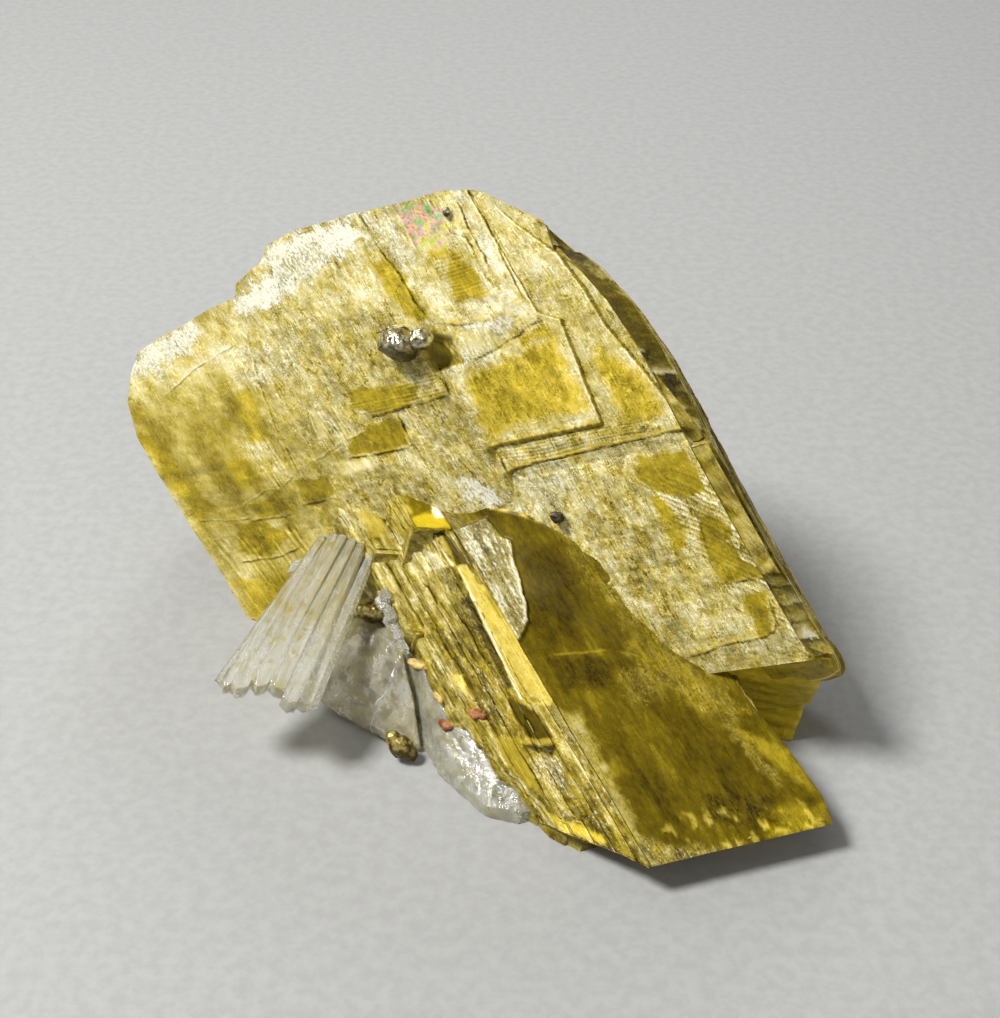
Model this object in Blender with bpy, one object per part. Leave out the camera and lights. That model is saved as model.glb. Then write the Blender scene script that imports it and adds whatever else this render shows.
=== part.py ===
"""A hand specimen of honey-coloured siderite with quartz and pyrite, standing on its broken base.

The siderite is one intergrown solid: a broad stepped rhomb that leans back and a smaller rhomb that grows
out of its foot. Each crystal is drawn in its own oblique axes, which run along its three crystal edges, so
growth layers, treads and ledges keep the true edge directions. Lengths are in millimetres until a mesh is
made. +Z is up, the origin is on the ground under the middle of the specimen, and the broad crystal's
stepped face looks toward -Y. The pieces are modelled beside that origin and moved over it at the end.
"""

import math
import random

import bmesh
import bpy
from mathutils import Matrix, Vector

MM = 0.001
CLEARANCE = 0.3            # between two minerals that touch
TO_MIDDLE = (2.298, 0.774, 0.0)  # brings the middle of the specimen's box over the origin

# Edge directions and origins of the two siderite crystals
BROAD_ORIGIN = (0.0, 0.0, 16.2)
BROAD_EDGES = ((0.873, -0.263, 0.410), (-0.495, 0.510, 0.703), (0.262, 0.713, -0.650))
FRONT_ORIGIN = (-5.8, 2.5, 15.6)
FRONT_EDGES = ((0.470, -0.810, -0.350), (0.958, 0.286, 0.0), (-0.237, 0.004, -0.972))

BROAD_THICKNESS = 12.5     # from the stepped face to the back face, along the third edge
LAYER = 0.45               # mean height of one growth layer
FRONT_LENGTH = 36.4        # the front crystal's ridge
FRONT_WIDTH = 15.0         # its smooth face, across the ridge
BAND = 1.7                 # width of the slanting band along the broad crystal's right edge
RIM_SLOPE = 0.85           # how far a growth layer's rim leans out, for each mm of height

SIDERITE = (0.42, 0.33, 0.07)
QUARTZ = (0.80, 0.80, 0.74)
PYRITE = (0.42, 0.38, 0.20)
RUST = (0.32, 0.15, 0.05)

# Outline of the stepped face, across and up the face
RIM = [
    (-29.7, -12.0), (-29.7, 13.0), (-28.6, 16.5), (-26.6, 19.0), (-24.7, 20.7), (-22.0, 21.5),
    (-17.0, 22.3), (-12.1, 22.9), (-11.4, 24.0), (-8.3, 25.2), (-6.6, 26.5), (-3.9, 27.0),
    (10.3, 27.0), (13.2, 26.4), (15.0, 24.6), (17.0, 22.4), (18.0, 20.2), (19.2, 18.0),
    (19.9, 15.2), (20.2, 11.5), (20.2, 7.5), (19.9, 1.0), (19.8, -8.0), (19.9, -15.5),
    (20.2, -17.0), (17.9, -17.2), (-23.0, -17.2),
]

# Growth layers on the stepped face: outline across and up the face, number of layers high
TERRACES = [
    ([(3.5, 3.2), (18.9, 3.6), (17.8, 9.5), (17.0, 13.0), (16.9, 16.4), (16.4, 19.8), (14.6, 22.9),
      (13.6, 25.2), (13.0, 30.0), (-34.0, 30.0), (-34.0, 2.8), (-12.0, 2.9), (-5.3, 4.2), (-1.0, 4.6),
      (-0.6, 2.4)], 1.2),
    ([(4.6, 4.3), (11.9, 4.4), (16.6, 4.2), (13.0, 4.9), (6.0, 5.0)], 1.5),
    ([(2.6, 5.4), (12.4, 5.3), (13.8, 14.4), (12.4, 15.4), (12.3, 20.0), (12.3, 30.0), (-34.0, 30.0),
      (-34.0, 3.3), (-25.0, 3.4), (-24.9, 4.7), (-22.0, 4.8), (-21.9, 5.5), (-17.2, 5.6), (-5.4, 4.9),
      (-1.0, 4.9)], 2.2),
    ([(10.4, 17.0), (10.4, 30.0), (-16.6, 30.0), (-16.8, 6.2), (-5.4, 5.4), (-0.5, 8.9), (1.6, 9.2),
      (6.4, 14.2), (9.4, 16.0)], 2.8),
    ([(9.7, 17.6), (10.2, 20.2), (9.0, 24.8), (6.6, 23.6), (6.8, 18.2)], 3.1),
    ([(5.5, 22.8), (5.5, 30.0), (-16.2, 30.0), (-16.4, 7.4), (-13.8, 7.5), (-13.6, 8.4), (-10.6, 8.6),
      (-4.1, 6.4), (-4.1, 10.1), (1.5, 10.3), (1.7, 16.0), (2.7, 17.0), (2.9, 21.0)], 3.5),
    ([(2.4, 20.8), (2.6, 30.0), (-15.8, 30.0), (-15.9, 9.6), (-9.0, 9.9), (-4.4, 10.5), (1.2, 10.7),
      (1.3, 15.6), (2.3, 17.4)], 4.4),
    ([(-15.4, 10.8), (-9.6, 11.2), (-9.0, 19.6), (-9.4, 30.0), (-15.2, 30.0)], 5.0),
    ([(-7.0, 18.6), (-1.6, 18.8), (-1.2, 30.0), (-7.2, 30.0)], 4.8),
    ([(-34.0, 6.6), (-18.0, 7.0), (-17.6, 14.0), (-19.4, 30.0), (-34.0, 30.0)], 3.1),
    ([(-34.0, 9.0), (-23.0, 9.4), (-22.6, 15.6), (-26.0, 30.0), (-34.0, 30.0)], 3.6),
    ([(-27.2, -6.0), (-20.4, -6.0), (-20.2, 1.4), (-27.0, 1.6)], 0.9),
    ([(-18.6, -4.0), (-9.4, -4.4), (-9.0, 1.0), (-12.6, 1.4), (-18.4, 1.2)], 0.6),
    ([(3.4, -9.7), (14.9, -9.7), (20.8, -9.6), (20.8, 2.2), (3.4, 2.0)], 0.6),
    ([(8.0, -3.6), (12.4, -3.8), (16.4, -3.6), (16.2, 1.2), (8.2, 1.0)], 1.0),
    ([(2.4, -15.0), (10.0, -15.1), (16.0, -14.8), (17.0, -13.9), (16.9, -11.5), (16.0, -8.8),
      (2.4, -8.0)], 1.1),
    ([(-10.4, 5.6), (-6.0, 5.4), (-5.6, 9.4), (-10.2, 9.8)], 4.0),
]

# Steps of the front crystal's left side: how far out, the depth of the tread, where the tread ends
TREADS = [
    (-1.2, 0.45, 20.8),
    (-1.9, 1.30, 31.0),
    (-2.6, 2.20, 30.0),
    (-3.2, 3.20, 27.2),
    (-3.9, 4.00, 24.0),
    (-4.6, 4.90, 17.6),
    (-5.3, 4.35, 9.6),
]


# Where the smooth face of the front crystal sweeps up against the broad one: along, across, height, reach
SADDLE = [
    (-2.0, 0.0, 0.1, 0.8), (0.6, 0.4, 0.5, 1.0), (2.6, 1.8, 1.4, 1.8), (5.8, 4.2, 2.7, 3.6),
    (8.6, 6.1, 3.4, 5.0), (11.9, 7.9, 3.0, 5.4), (13.8, 8.9, 2.3, 5.0), (15.9, 9.8, 1.4, 4.2),
    (19.2, 11.1, 0.3, 2.6),
]

# Quartz prisms of the fan: root, free end, radius, slant of the break
FAN = [
    ((-11.5, -0.9, 10.3), (-16.1, -14.0, 6.2), 1.10, 0.4),
    ((-12.2, 0.4, 11.1), (-17.2, -14.7, 6.6), 1.30, 0.5),
    ((-12.8, 1.2, 11.7), (-18.6, -13.9, 6.9), 1.25, 0.4),
    ((-13.4, 1.9, 12.2), (-19.9, -13.2, 7.1), 1.15, 0.5),
    ((-14.3, 2.0, 12.0), (-21.2, -12.7, 7.3), 1.20, 0.4),
    ((-16.2, -0.6, 10.4), (-22.1, -11.8, 7.5), 1.00, 0.3),
]

# Small prisms that stand along the upper edge of the grey quartz: foot, tip, radius
SPIKES = [
    ((-10.2, -1.0, 5.0), (-9.9, -2.3, 8.8), 0.60), ((-9.8, -2.4, 4.8), (-9.2, -3.5, 8.2), 0.70),
    ((-9.2, -3.8, 4.4), (-8.5, -5.0, 7.2), 0.65), ((-8.8, -5.0, 3.8), (-8.1, -6.4, 6.2), 0.60),
]

# Pyrite grains: the lobes of each, as an offset from its middle and its half sizes
GRAIN_LOBES = [((-0.5, 0.0, -0.1), (1.75, 1.2, 1.5)), ((1.35, -0.4, 0.55), (0.95, 0.9, 0.9))]
SPECK_LOBES = [((0.0, 0.0, 0.0), (0.42, 0.40, 0.42))]
NOOK_LOBES = [((0.0, 0.0, 0.0), (1.3, 0.9, 0.8)), ((-0.7, -0.3, 0.3), (0.8, 0.7, 0.7))]
BASE_LOBES = [
    ((0.0, 0.0, 0.0), (1.1, 1.0, 1.3)), ((-0.6, 0.2, 0.7), (0.8, 0.7, 0.8)),
    ((0.8, -0.2, -0.6), (0.7, 0.7, 0.7)),
]
DARK_LOBES = [((0.0, 0.0, 0.0), (0.6, 0.5, 0.6))]


def clear_scene():
    for obj in list(bpy.data.objects):
        bpy.data.objects.remove(obj, do_unlink=True)
    for mesh in list(bpy.data.meshes):
        bpy.data.meshes.remove(mesh)


class Axes:
    """Three oblique edge directions with an origin: point() turns distances along them into a place."""

    def __init__(self, origin, edges):
        self.origin = Vector(origin)
        self.edges = [Vector(edge).normalized() for edge in edges]

    def point(self, across, up, into):
        first, second, third = self.edges
        return self.origin + first * across + second * up + third * into


def material(name, colour, roughness, metallic=0.0, transmission=0.0):
    made = bpy.data.materials.new(name)
    made.use_nodes = True
    shader = made.node_tree.nodes["Principled BSDF"]
    shader.inputs["Base Color"].default_value = (*colour, 1.0)
    shader.inputs["Roughness"].default_value = roughness
    shader.inputs["Metallic"].default_value = metallic
    shader.inputs["Transmission Weight"].default_value = transmission
    return made


def finish_mesh(name, shape):
    """Turns a bmesh in millimetres into an object in metres, with its faces pointing out."""
    bmesh.ops.recalc_face_normals(shape, faces=shape.faces)
    bmesh.ops.scale(shape, vec=(MM, MM, MM), verts=shape.verts)
    mesh = bpy.data.meshes.new(name)
    shape.to_mesh(mesh)
    shape.free()
    obj = bpy.data.objects.new(name, mesh)
    bpy.context.collection.objects.link(obj)
    return obj


def grown(outline, amount):
    """The outline with every side moved outwards by amount, mitred at the corners."""
    count = len(outline)
    area = sum(
        outline[i][0] * outline[(i + 1) % count][1] - outline[(i + 1) % count][0] * outline[i][1]
        for i in range(count)
    )
    turn = 1.0 if area > 0 else -1.0
    moved = []
    for i in range(count):
        here = Vector(outline[i])
        before = (here - Vector(outline[i - 1])).normalized()
        after = (Vector(outline[(i + 1) % count]) - here).normalized()
        normal_a = Vector((before.y, -before.x)) * turn
        normal_b = Vector((after.y, -after.x)) * turn
        middle = (normal_a + normal_b).normalized()
        reach = amount / max(middle.dot(normal_a), 0.5)
        moved.append(tuple(here + middle * reach))
    return moved


def loft(name, axes, sections):
    """A closed solid through some rings of the same count, each given as points in the axes."""
    shape = bmesh.new()
    rings = [[shape.verts.new(axes.point(*spot)) for spot in section] for section in sections]
    shape.faces.new(rings[0])
    shape.faces.new(list(reversed(rings[-1])))
    for first, second in zip(rings, rings[1:]):
        for i, start in enumerate(first):
            after = (i + 1) % len(first)
            shape.faces.new((start, second[i], second[after], first[after]))
    return finish_mesh(name, shape)


def prism(name, axes, outline, near, far, flare=0.0):
    """An oblique prism between two depths of the axes. Its far end is grown by flare."""
    wide = grown(outline, flare) if flare else outline
    return loft(name, axes, [[(a, b, near) for a, b in outline], [(a, b, far) for a, b in wide]])


def hull(name, points):
    """The convex solid around some points."""
    shape = bmesh.new()
    for point in points:
        shape.verts.new(point)
    result = bmesh.ops.convex_hull(shape, input=shape.verts)
    spare = {item for item in result["geom_interior"] if isinstance(item, bmesh.types.BMVert)}
    spare |= {item for item in result["geom_unused"] if isinstance(item, bmesh.types.BMVert)}
    bmesh.ops.delete(shape, geom=list(spare), context="VERTS")
    bmesh.ops.dissolve_limit(
        shape, angle_limit=math.radians(0.5), verts=shape.verts, edges=shape.edges
    )
    return finish_mesh(name, shape)


def combine(target, others, operation):
    """Applies one exact Boolean with several other solids, which it uses up."""
    for number, other in enumerate(others):
        modifier = target.modifiers.new(f"step_{number}", "BOOLEAN")
        modifier.operation = operation
        modifier.solver = "EXACT"
        modifier.object = other
    graph = bpy.context.evaluated_depsgraph_get()
    mesh = bpy.data.meshes.new_from_object(target.evaluated_get(graph))
    target.modifiers.clear()
    target.data = mesh
    for other in others:
        bpy.data.objects.remove(other, do_unlink=True)
    return target


def largest_body(obj):
    """Drops the crumbs that a cut leaves beside the main body."""
    shape = bmesh.new()
    shape.from_mesh(obj.data)
    left = set(shape.verts)
    bodies = []
    while left:
        body = {left.pop()}
        front = list(body)
        while front:
            vert = front.pop()
            near = {edge.other_vert(vert) for edge in vert.link_edges} & left
            left -= near
            body |= near
            front += near
        bodies.append(sorted(body, key=lambda vert: vert.index))
    bodies.sort(key=len)
    for body in bodies[:-1]:
        bmesh.ops.delete(shape, geom=body, context="VERTS")
    shape.to_mesh(obj.data)
    shape.free()
    return obj


def copy_of(obj, shift):
    """A second solid of the same shape, moved by shift in millimetres."""
    twin = bpy.data.objects.new(obj.name + "_copy", obj.data.copy())
    twin.data.transform(Matrix.Translation(Vector(shift) * MM))
    bpy.context.collection.objects.link(twin)
    return twin


def below_ground():
    """A block that fills everything under the surface the specimen stands on."""
    corners = [(x, y, z) for x in (-60, 60) for y in (-60, 60) for z in (-40, 0)]
    return hull("below_ground", corners)


# ---------------------------------------------------------------- siderite

def saddle_section(along, across, height, reach):
    """One section of the sweep: it leaves the smooth face level and steepens toward the broad crystal."""
    low = 0.15
    rise = height + low
    section = [(along - 0.10 * reach * (1 - t), across - reach * (1 - t), low - rise * t ** 1.8)
               for t in (0.0, 0.35, 0.65, 0.85, 1.0)]
    section += [(along - 1.0, across + 2.5, 1.6 - 0.6 * height), (along - 1.0, across + 1.5, 4.0),
                (along - 0.2 * reach, across - reach, 2.6)]
    return section


def broad_crystal(axes):
    """The leaning rhomb: its body in layers along the depth, then growth layers on the front and back."""
    face_rim = [(a - BAND if a > 17.5 and b > -15.8 else a, b) for a, b in RIM]
    layers = []
    for number, (outline, count) in enumerate(TERRACES):
        height = count * LAYER
        root = 0.5 + 0.04 * number
        lean = RIM_SLOPE * (height + root)
        layers.append(prism(f"terrace_{number}", axes, outline, -height, root, lean))
    terraces = combine(layers[0], layers[1:], "UNION")
    combine(terraces, [prism("trim", axes, grown(RIM, -0.05), -4.0, 3.0)], "INTERSECT")
    pieces = [
        terraces,
        loft("face_lip", axes, [[(a, b, 0.0) for a, b in face_rim], [(a, b, 3.0) for a, b in RIM]]),
        prism("shoulder", axes, grown(RIM, -0.5), 4.6, 9.0, 0.2),
        prism("back_lip", axes, grown(RIM, -0.1), 8.7, BROAD_THICKNESS - 1.0),
        prism("back_edge", axes, grown(RIM, -0.9), 8.7, BROAD_THICKNESS),
        prism("back_step", axes, [(-25.0, -12.0), (-25.4, 11.0), (-21.6, 17.4), (-9.0, 20.6),
              (11.0, 22.6), (15.4, 15.0), (16.4, -12.0), (14.0, -16.8)], 9.0, 13.3, -0.4),
        prism("back_crown", axes, [(-19.0, -12.0), (-19.6, 8.0), (-14.0, 13.6), (-2.0, 14.2),
              (7.6, 16.0), (9.2, 3.0), (8.2, -14.0)], 9.4, 14.1, -0.4),
        prism("back_plate", axes, [(-8.0, -9.0), (-8.4, 6.0), (3.0, 7.4), (4.2, -8.0)], 9.6, 14.8, -0.4),
    ]
    foot = [(8.5, -16.6, 0.3), (18.6, -16.9, 0.3), (19.9, -17.1, 2.0), (18.2, -17.9, 4.0),
            (17.0, -18.9, 5.0), (15.7, -21.1, 5.5), (10.6, -21.1, 5.0), (3.0, -21.0, 5.0),
            (16.0, -18.0, 11.0), (12.0, -20.0, 11.4), (3.0, -20.0, 11.6), (8.0, -13.0, 11.0)]
    heel = [(15.4, -21.0, 5.4), (14.3, -22.0, 6.2), (13.2, -23.3, 6.6), (11.4, -25.2, 7.0),
            (10.2, -21.0, 4.9), (3.0, -25.0, 7.4), (3.0, -18.0, 11.0), (13.0, -19.6, 11.0)]
    pieces.append(hull("foot", [axes.point(*spot) for spot in foot]))
    pieces.append(hull("heel", [axes.point(*spot) for spot in heel]))
    body = prism("siderite_crystals", axes, grown(RIM, -0.02), 2.8, 5.0)
    return combine(body, pieces, "UNION")


def front_crystal(along):
    """The small rhomb at the foot: a smooth face, a ridge, and a side of treads that run with the ridge."""
    pieces = []
    for number, (out, depth, end) in enumerate(TREADS):
        inside = 3.0 - 0.31 * number
        start = -8.0 + 0.37 * number
        tread = [(start, out), (end - 1.2, out), (end, out + 0.5), (end - 0.3, inside), (start + 0.1, inside)]
        pieces.append(prism(f"tread_{number}", along, tread, depth, 13.0 + 0.23 * number))
    collar = [(-4.0, -1.5), (0.0, -2.3), (3.3, -3.3), (3.6, 0.1), (1.0, 0.5), (-4.0, 1.0)]
    pieces.append(prism("collar", along, collar, -0.15, 3.7, 0.25))
    brow = [(-4.2, -4.9), (1.9, -5.2), (2.6, -3.0), (-4.2, -1.2)]
    pieces.append(prism("brow", along, brow, 3.1, 7.7, 0.2))
    flake = [(3.6, -0.5), (9.0, -0.4), (15.6, 0.3), (13.8, 1.6), (10.8, 2.6), (7.0, 3.2), (4.4, 2.2)]
    pieces.append(prism("flake", along, flake, -0.4, 2.3, 0.4))
    pieces.append(loft("saddle", along, [saddle_section(*section) for section in SADDLE]))
    core = [(-7.0, 0.0, 0.0), (FRONT_LENGTH, 0.0, 0.0), (FRONT_LENGTH, FRONT_WIDTH, 0.0),
            (34.0, 15.6, 0.0), (29.6, 15.4, 0.0), (24.0, 14.7, 0.0), (-7.0, 14.0, 0.0),
            (29.6, -2.6, 3.7), (24.0, -2.2, 8.6), (27.0, 13.6, 6.0), (10.0, 12.0, 11.0),
            (33.5, 14.6, 1.8), (-7.0, -2.0, 11.0), (10.0, -2.0, 12.0), (-7.0, 12.0, 8.0)]
    body = hull("front_core", [along.point(*spot) for spot in core])
    return combine(body, pieces, "UNION")


def siderite(axes, along):
    broad = broad_crystal(axes)
    front = front_crystal(along)
    combine(broad, [front], "UNION")
    pit = [(2.6, 15.6, -2.6), (3.9, 14.8, -2.6), (4.0, 13.2, -2.6), (2.6, 12.2, -2.6), (1.4, 13.4, -2.6),
           (2.6, 14.8, -0.3), (3.0, 13.6, -0.3), (2.2, 13.2, -0.3)]
    hollow = [(-14, 4, -3), (-9, 14, -3), (5, 12, -3), (11, 0, -3), (2, -8, -3), (-9, -2, -3),
              (-8, 5, 2.2), (1, 7, 3.0), (3, -1, 2.0)]
    cutters = [hull("pit", [axes.point(*spot) for spot in pit]), hull("hollow", hollow), below_ground()]
    return combine(broad, cutters, "DIFFERENCE")


# ---------------------------------------------------------------- quartz

def hexagonal_prism(name, start, end, radius, taper, cut):
    """A six-sided quartz prism from start to end. Its free end is a slanting break, cut mm each way."""
    start = Vector(start)
    end = Vector(end)
    along = (end - start).normalized()
    side = along.cross(Vector((0, 0, 1))).normalized()
    over = side.cross(along).normalized()
    shape = bmesh.new()
    rings = []
    for place, size, slant in ((start, radius * taper, 0.0), (end, radius, cut)):
        ring = []
        for step in range(6):
            angle = math.radians(60 * step)
            spoke = side * math.cos(angle) + over * math.sin(angle)
            ring.append(shape.verts.new(place + spoke * size + along * slant * math.cos(angle + 0.6)))
        rings.append(ring)
    shape.faces.new(rings[0])
    shape.faces.new(list(reversed(rings[1])))
    for step in range(6):
        after = (step + 1) % 6
        shape.faces.new((rings[0][step], rings[1][step], rings[1][after], rings[0][after]))
    return finish_mesh(name, shape)


def quartz_fan():
    """Prisms that spread from one root and are grown into each other, so that grooves run between them."""
    prisms = [
        hexagonal_prism(f"prism_{number}", root, tip, radius, 0.55, cut)
        for number, (root, tip, radius, cut) in enumerate(FAN)
    ]
    chip = hexagonal_prism("chip", (-16.4, 1.0, 9.6), (-18.2, 0.0, 9.4), 0.8, 1.0, 0.3)
    fan = prisms[0]
    fan.name = "quartz_fan"
    return combine(fan, prisms[1:] + [chip], "UNION")


def quartz_chunk():
    """The broken grey quartz under the fan, with small prisms that stand along its upper edge."""
    body = [(-15.4, -7.6, 1.5), (-15.2, -7.4, 2.8), (-14.3, -6.3, 5.6), (-12.3, -4.6, 6.6), (-9.4, -4.6, 6.5),
            (-8.6, -6.4, 5.2), (-8.2, -9.0, 3.0), (-7.5, -12.3, 0.3), (-9.3, -11.5, 0.5), (-12.5, -9.6, 0.8),
            (-11.7, -8.2, 4.2), (-9.8, -10.1, 2.6), (-13.0, -8.7, 2.6), (-15.0, -2.4, 0.0), (-9.4, -3.4, 0.0),
            (-14.2, -1.2, 5.0), (-9.6, -1.0, 6.0), (-15.4, -6.0, 0.2), (-8.0, -11.6, 0.0)]
    chunk = hull("quartz_chunk", body)
    pieces = [
        hexagonal_prism(f"spike_{number}", start, end, radius, 1.0, 0.4)
        for number, (start, end, radius) in enumerate(SPIKES)
    ]
    return combine(chunk, pieces, "UNION")


def quartz_blade():
    """The clear blade that lies along the foot of the front crystal."""
    foot = [(-8.4, -6.4), (-7.1, -10.6), (-5.9, -12.7), (-5.0, -15.0), (-2.5, -17.8), (-1.3, -19.4),
            (1.5, -20.1), (2.2, -19.8)]
    crest = [(-8.3, -5.6, 6.2), (-6.5, -7.6, 6.0), (-5.9, -9.3, 4.9), (-4.3, -10.9, 4.1), (-1.8, -13.9, 3.1),
             (-0.2, -16.9, 2.3), (1.5, -18.5, 1.7), (2.2, -19.4, 1.2)]
    points = [(x, y, 0.0) for x, y in foot]
    points += [(x + 0.25, y + 0.25, 0.9) for x, y in foot]
    points += crest
    points += [(x + 3.0, y + 2.0, 0.0) for x, y, _ in crest]
    return hull("quartz_blade", points)


# ---------------------------------------------------------------- pyrite and rust

def lumpy_grain(name, centre, lobes, seed):
    """A small grain of many facets: convex lobes of seeded points, joined in one solid."""
    chance = random.Random(seed)
    lumps = []
    for number, (offset, size) in enumerate(lobes):
        points = []
        count = 30
        for step in range(count):
            height = 1 - 2 * (step + 0.5) / count
            angle = step * 2.39996 + chance.uniform(-0.3, 0.3)
            ring = math.sqrt(1 - height * height)
            unit = Vector((ring * math.cos(angle), ring * math.sin(angle), height))
            reach = chance.uniform(0.84, 1.06)
            spot = [centre[i] + offset[i] + size[i] * reach * unit[i] for i in range(3)]
            points.append(spot)
        lumps.append(hull(f"{name}_{number}", points))
    grain = lumps[0]
    grain.name = name
    if len(lumps) > 1:
        combine(grain, lumps[1:], "UNION")
    return grain


def seat(grain, host, *shifts):
    """Cuts a piece where it sits against its host: the host, moved by each shift, leaves the gap."""
    cutters = [copy_of(host, shift) for shift in shifts]
    return largest_body(combine(grain, cutters, "DIFFERENCE"))


def build():
    clear_scene()
    axes = Axes(BROAD_ORIGIN, BROAD_EDGES)
    along = Axes(FRONT_ORIGIN, FRONT_EDGES)
    out = (axes.edges[0].cross(axes.edges[1])).normalized()
    if out.y > 0:
        out.negate()
    face_gap = out * CLEARANCE
    rise = Vector((0.0, 0.0, CLEARANCE))
    back = Vector((-0.7, -0.7, 0.0)) * CLEARANCE

    stone = siderite(axes, along)
    fan = quartz_fan()
    chunk = quartz_chunk()
    blade = quartz_blade()
    seat(chunk, stone, back * 1.2, face_gap, rise, -rise)
    seat(blade, stone, back * 1.2, rise, -rise)
    seat(blade, chunk, Vector((CLEARANCE, -0.1, 0.0)), rise)
    seat(fan, stone, face_gap, rise)
    seat(fan, chunk, rise)

    grain = lumpy_grain("pyrite_grain", axes.point(0.6, 15.1, -2.5), GRAIN_LOBES, 4)
    seat(grain, stone, face_gap)
    speck = lumpy_grain("pyrite_speck", axes.point(9.8, 25.1, -1.5), SPECK_LOBES, 7)
    seat(speck, stone, face_gap)
    nook = lumpy_grain("pyrite_nook", (-11.0, -2.6, 7.6), NOOK_LOBES, 12)
    seat(nook, stone, face_gap)
    seat(nook, chunk, rise, back)
    seat(nook, fan, Vector((CLEARANCE, 0.0, 0.0)), -rise)
    base = lumpy_grain("pyrite_base", (-8.2, -13.0, 1.5), BASE_LOBES, 21)
    seat(base, chunk, Vector((0.0, -CLEARANCE, 0.0)), back)
    seat(base, blade, Vector((-CLEARANCE, 0.0, 0.0)))
    dark = lumpy_grain("dark_grain", axes.point(4.6, -1.8, -0.9), DARK_LOBES, 30)
    seat(dark, stone, face_gap)

    pieces = (stone, fan, chunk, blade, grain, speck, nook, base, dark)
    for piece in pieces:
        piece.data.transform(Matrix.Translation(Vector(TO_MIDDLE) * MM))
    return pieces


def paint(pieces):
    stone, fan, chunk, blade, *grains = pieces
    stone.data.materials.clear()
    stone.data.materials.append(material("honey_siderite", SIDERITE, 0.45))
    for piece, tone in ((fan, 0.86), (chunk, 0.55), (blade, 0.75)):
        piece.data.materials.clear()
        shade = tuple(value * tone for value in QUARTZ)
        piece.data.materials.append(material(piece.name + "_glass", shade, 0.15, 0.0, 0.8))
    for piece in grains:
        piece.data.materials.clear()
        piece.data.materials.append(material(piece.name + "_metal", PYRITE, 0.35, 0.9))
    dark = pieces[-1].data.materials[0].node_tree.nodes["Principled BSDF"]
    dark.inputs["Base Color"].default_value = (*RUST, 1.0)
    dark.inputs["Metallic"].default_value = 0.0


paint(build())
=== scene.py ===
"""A hand specimen of honey-coloured siderite with quartz and pyrite, dressed over its solids.

Shapes are worked out in millimetres along the crystals' own oblique edges, as whole numpy arrays, and are
moved over the specimen's origin when they become meshes. Each stone surface carries its place in the crystal
and a few soft masks, which its material reads: tone (how light), frost (white), glow (a painted gold glow where
light would pass through the stone), calm (how even) and iris (coloured film).
"""

import math

import bmesh
import bpy
import numpy as np
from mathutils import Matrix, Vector


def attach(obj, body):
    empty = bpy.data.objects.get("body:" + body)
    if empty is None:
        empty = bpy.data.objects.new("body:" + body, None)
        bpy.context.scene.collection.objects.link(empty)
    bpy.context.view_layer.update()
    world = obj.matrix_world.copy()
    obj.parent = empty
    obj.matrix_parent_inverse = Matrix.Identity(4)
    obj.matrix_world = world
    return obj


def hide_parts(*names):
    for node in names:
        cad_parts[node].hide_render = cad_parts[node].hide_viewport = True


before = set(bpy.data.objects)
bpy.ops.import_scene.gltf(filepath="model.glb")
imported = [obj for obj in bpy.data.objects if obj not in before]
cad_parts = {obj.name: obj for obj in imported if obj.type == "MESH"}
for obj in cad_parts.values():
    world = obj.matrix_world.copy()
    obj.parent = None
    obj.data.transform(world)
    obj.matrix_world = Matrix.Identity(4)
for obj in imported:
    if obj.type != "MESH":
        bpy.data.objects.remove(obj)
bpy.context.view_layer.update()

MM = 0.001
TO_MIDDLE = np.array([2.298, 0.774, 0.0])  # from the crystals' own origin to the middle of the specimen
LAYER = 0.45  # height of one growth layer
RIM_SLOPE, SOFT_SLOPE = 0.42, 4.6  # run for each millimetre of fall, at a sharp edge and at a soft one
LEFT_END, RIGHT_END, LOW_END, HIGH_END = -29.7, 20.2, -17.2, 27.0  # rectangle that the stepped face is bent from
THICK = 12.6  # depth of the broad crystal
BAND_DEEP = 2.95  # depth of the sharp edge along the right side
RIDGE_START, RIDGE_END = -6.0, 36.4  # along the front crystal
CORE, CORE_SLANT = 3.7, -0.70  # the left side slants out by this share of the depth, down to this depth
FACETS = 54  # planes that cut each lobe of a pyrite grain


def unit(vector):
    """Vectors brought to a length of 1."""
    return vector / np.maximum(np.linalg.norm(vector, axis=-1, keepdims=True), 1e-9)


class Axes:
    """Three oblique edge directions with an origin."""

    def __init__(self, origin, edges):
        self.origin = np.array(origin, float)
        self.edges = unit(np.array(edges))

    def point(self, across, up, into):
        """Places this far along each of the three edges."""
        across, up, into = np.broadcast_arrays(across, up, into)
        first, second, third = self.edges
        return self.origin + across[..., None] * first + up[..., None] * second + into[..., None] * third


BROAD = Axes((0.0, 0.0, 16.2), ((0.873, -0.263, 0.410), (-0.495, 0.510, 0.703), (0.262, 0.713, -0.650)))
FRONT = Axes((-5.8, 2.5, 15.6), ((0.470, -0.810, -0.350), (0.958, 0.286, 0.0), (-0.237, 0.004, -0.972)))


# ---------------------------------------------------------------- tables kept as text

def spots(text):
    """Points from text, with a comma between them."""
    return [tuple(map(float, spot.split())) for spot in text.split(",")]


def table(text):
    """Rows from text, with a semicolon between them: numbers, wanted masks as name=value, a colon, then the points of
    an outline or a line. Each comes back as points, numbers and, where there are any, the wanted masks."""
    rows = []
    for row in text.split(";"):
        head, _, points = row.rpartition(":")
        words = [word.split("=") for word in head.split()]
        numbers = [float(word[0]) for word in words if len(word) == 1]
        wanted = {word[0]: float(word[1]) for word in words if len(word) == 2}
        rows.append((spots(points), *numbers, *([wanted] if wanted else [])))
    return rows


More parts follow.
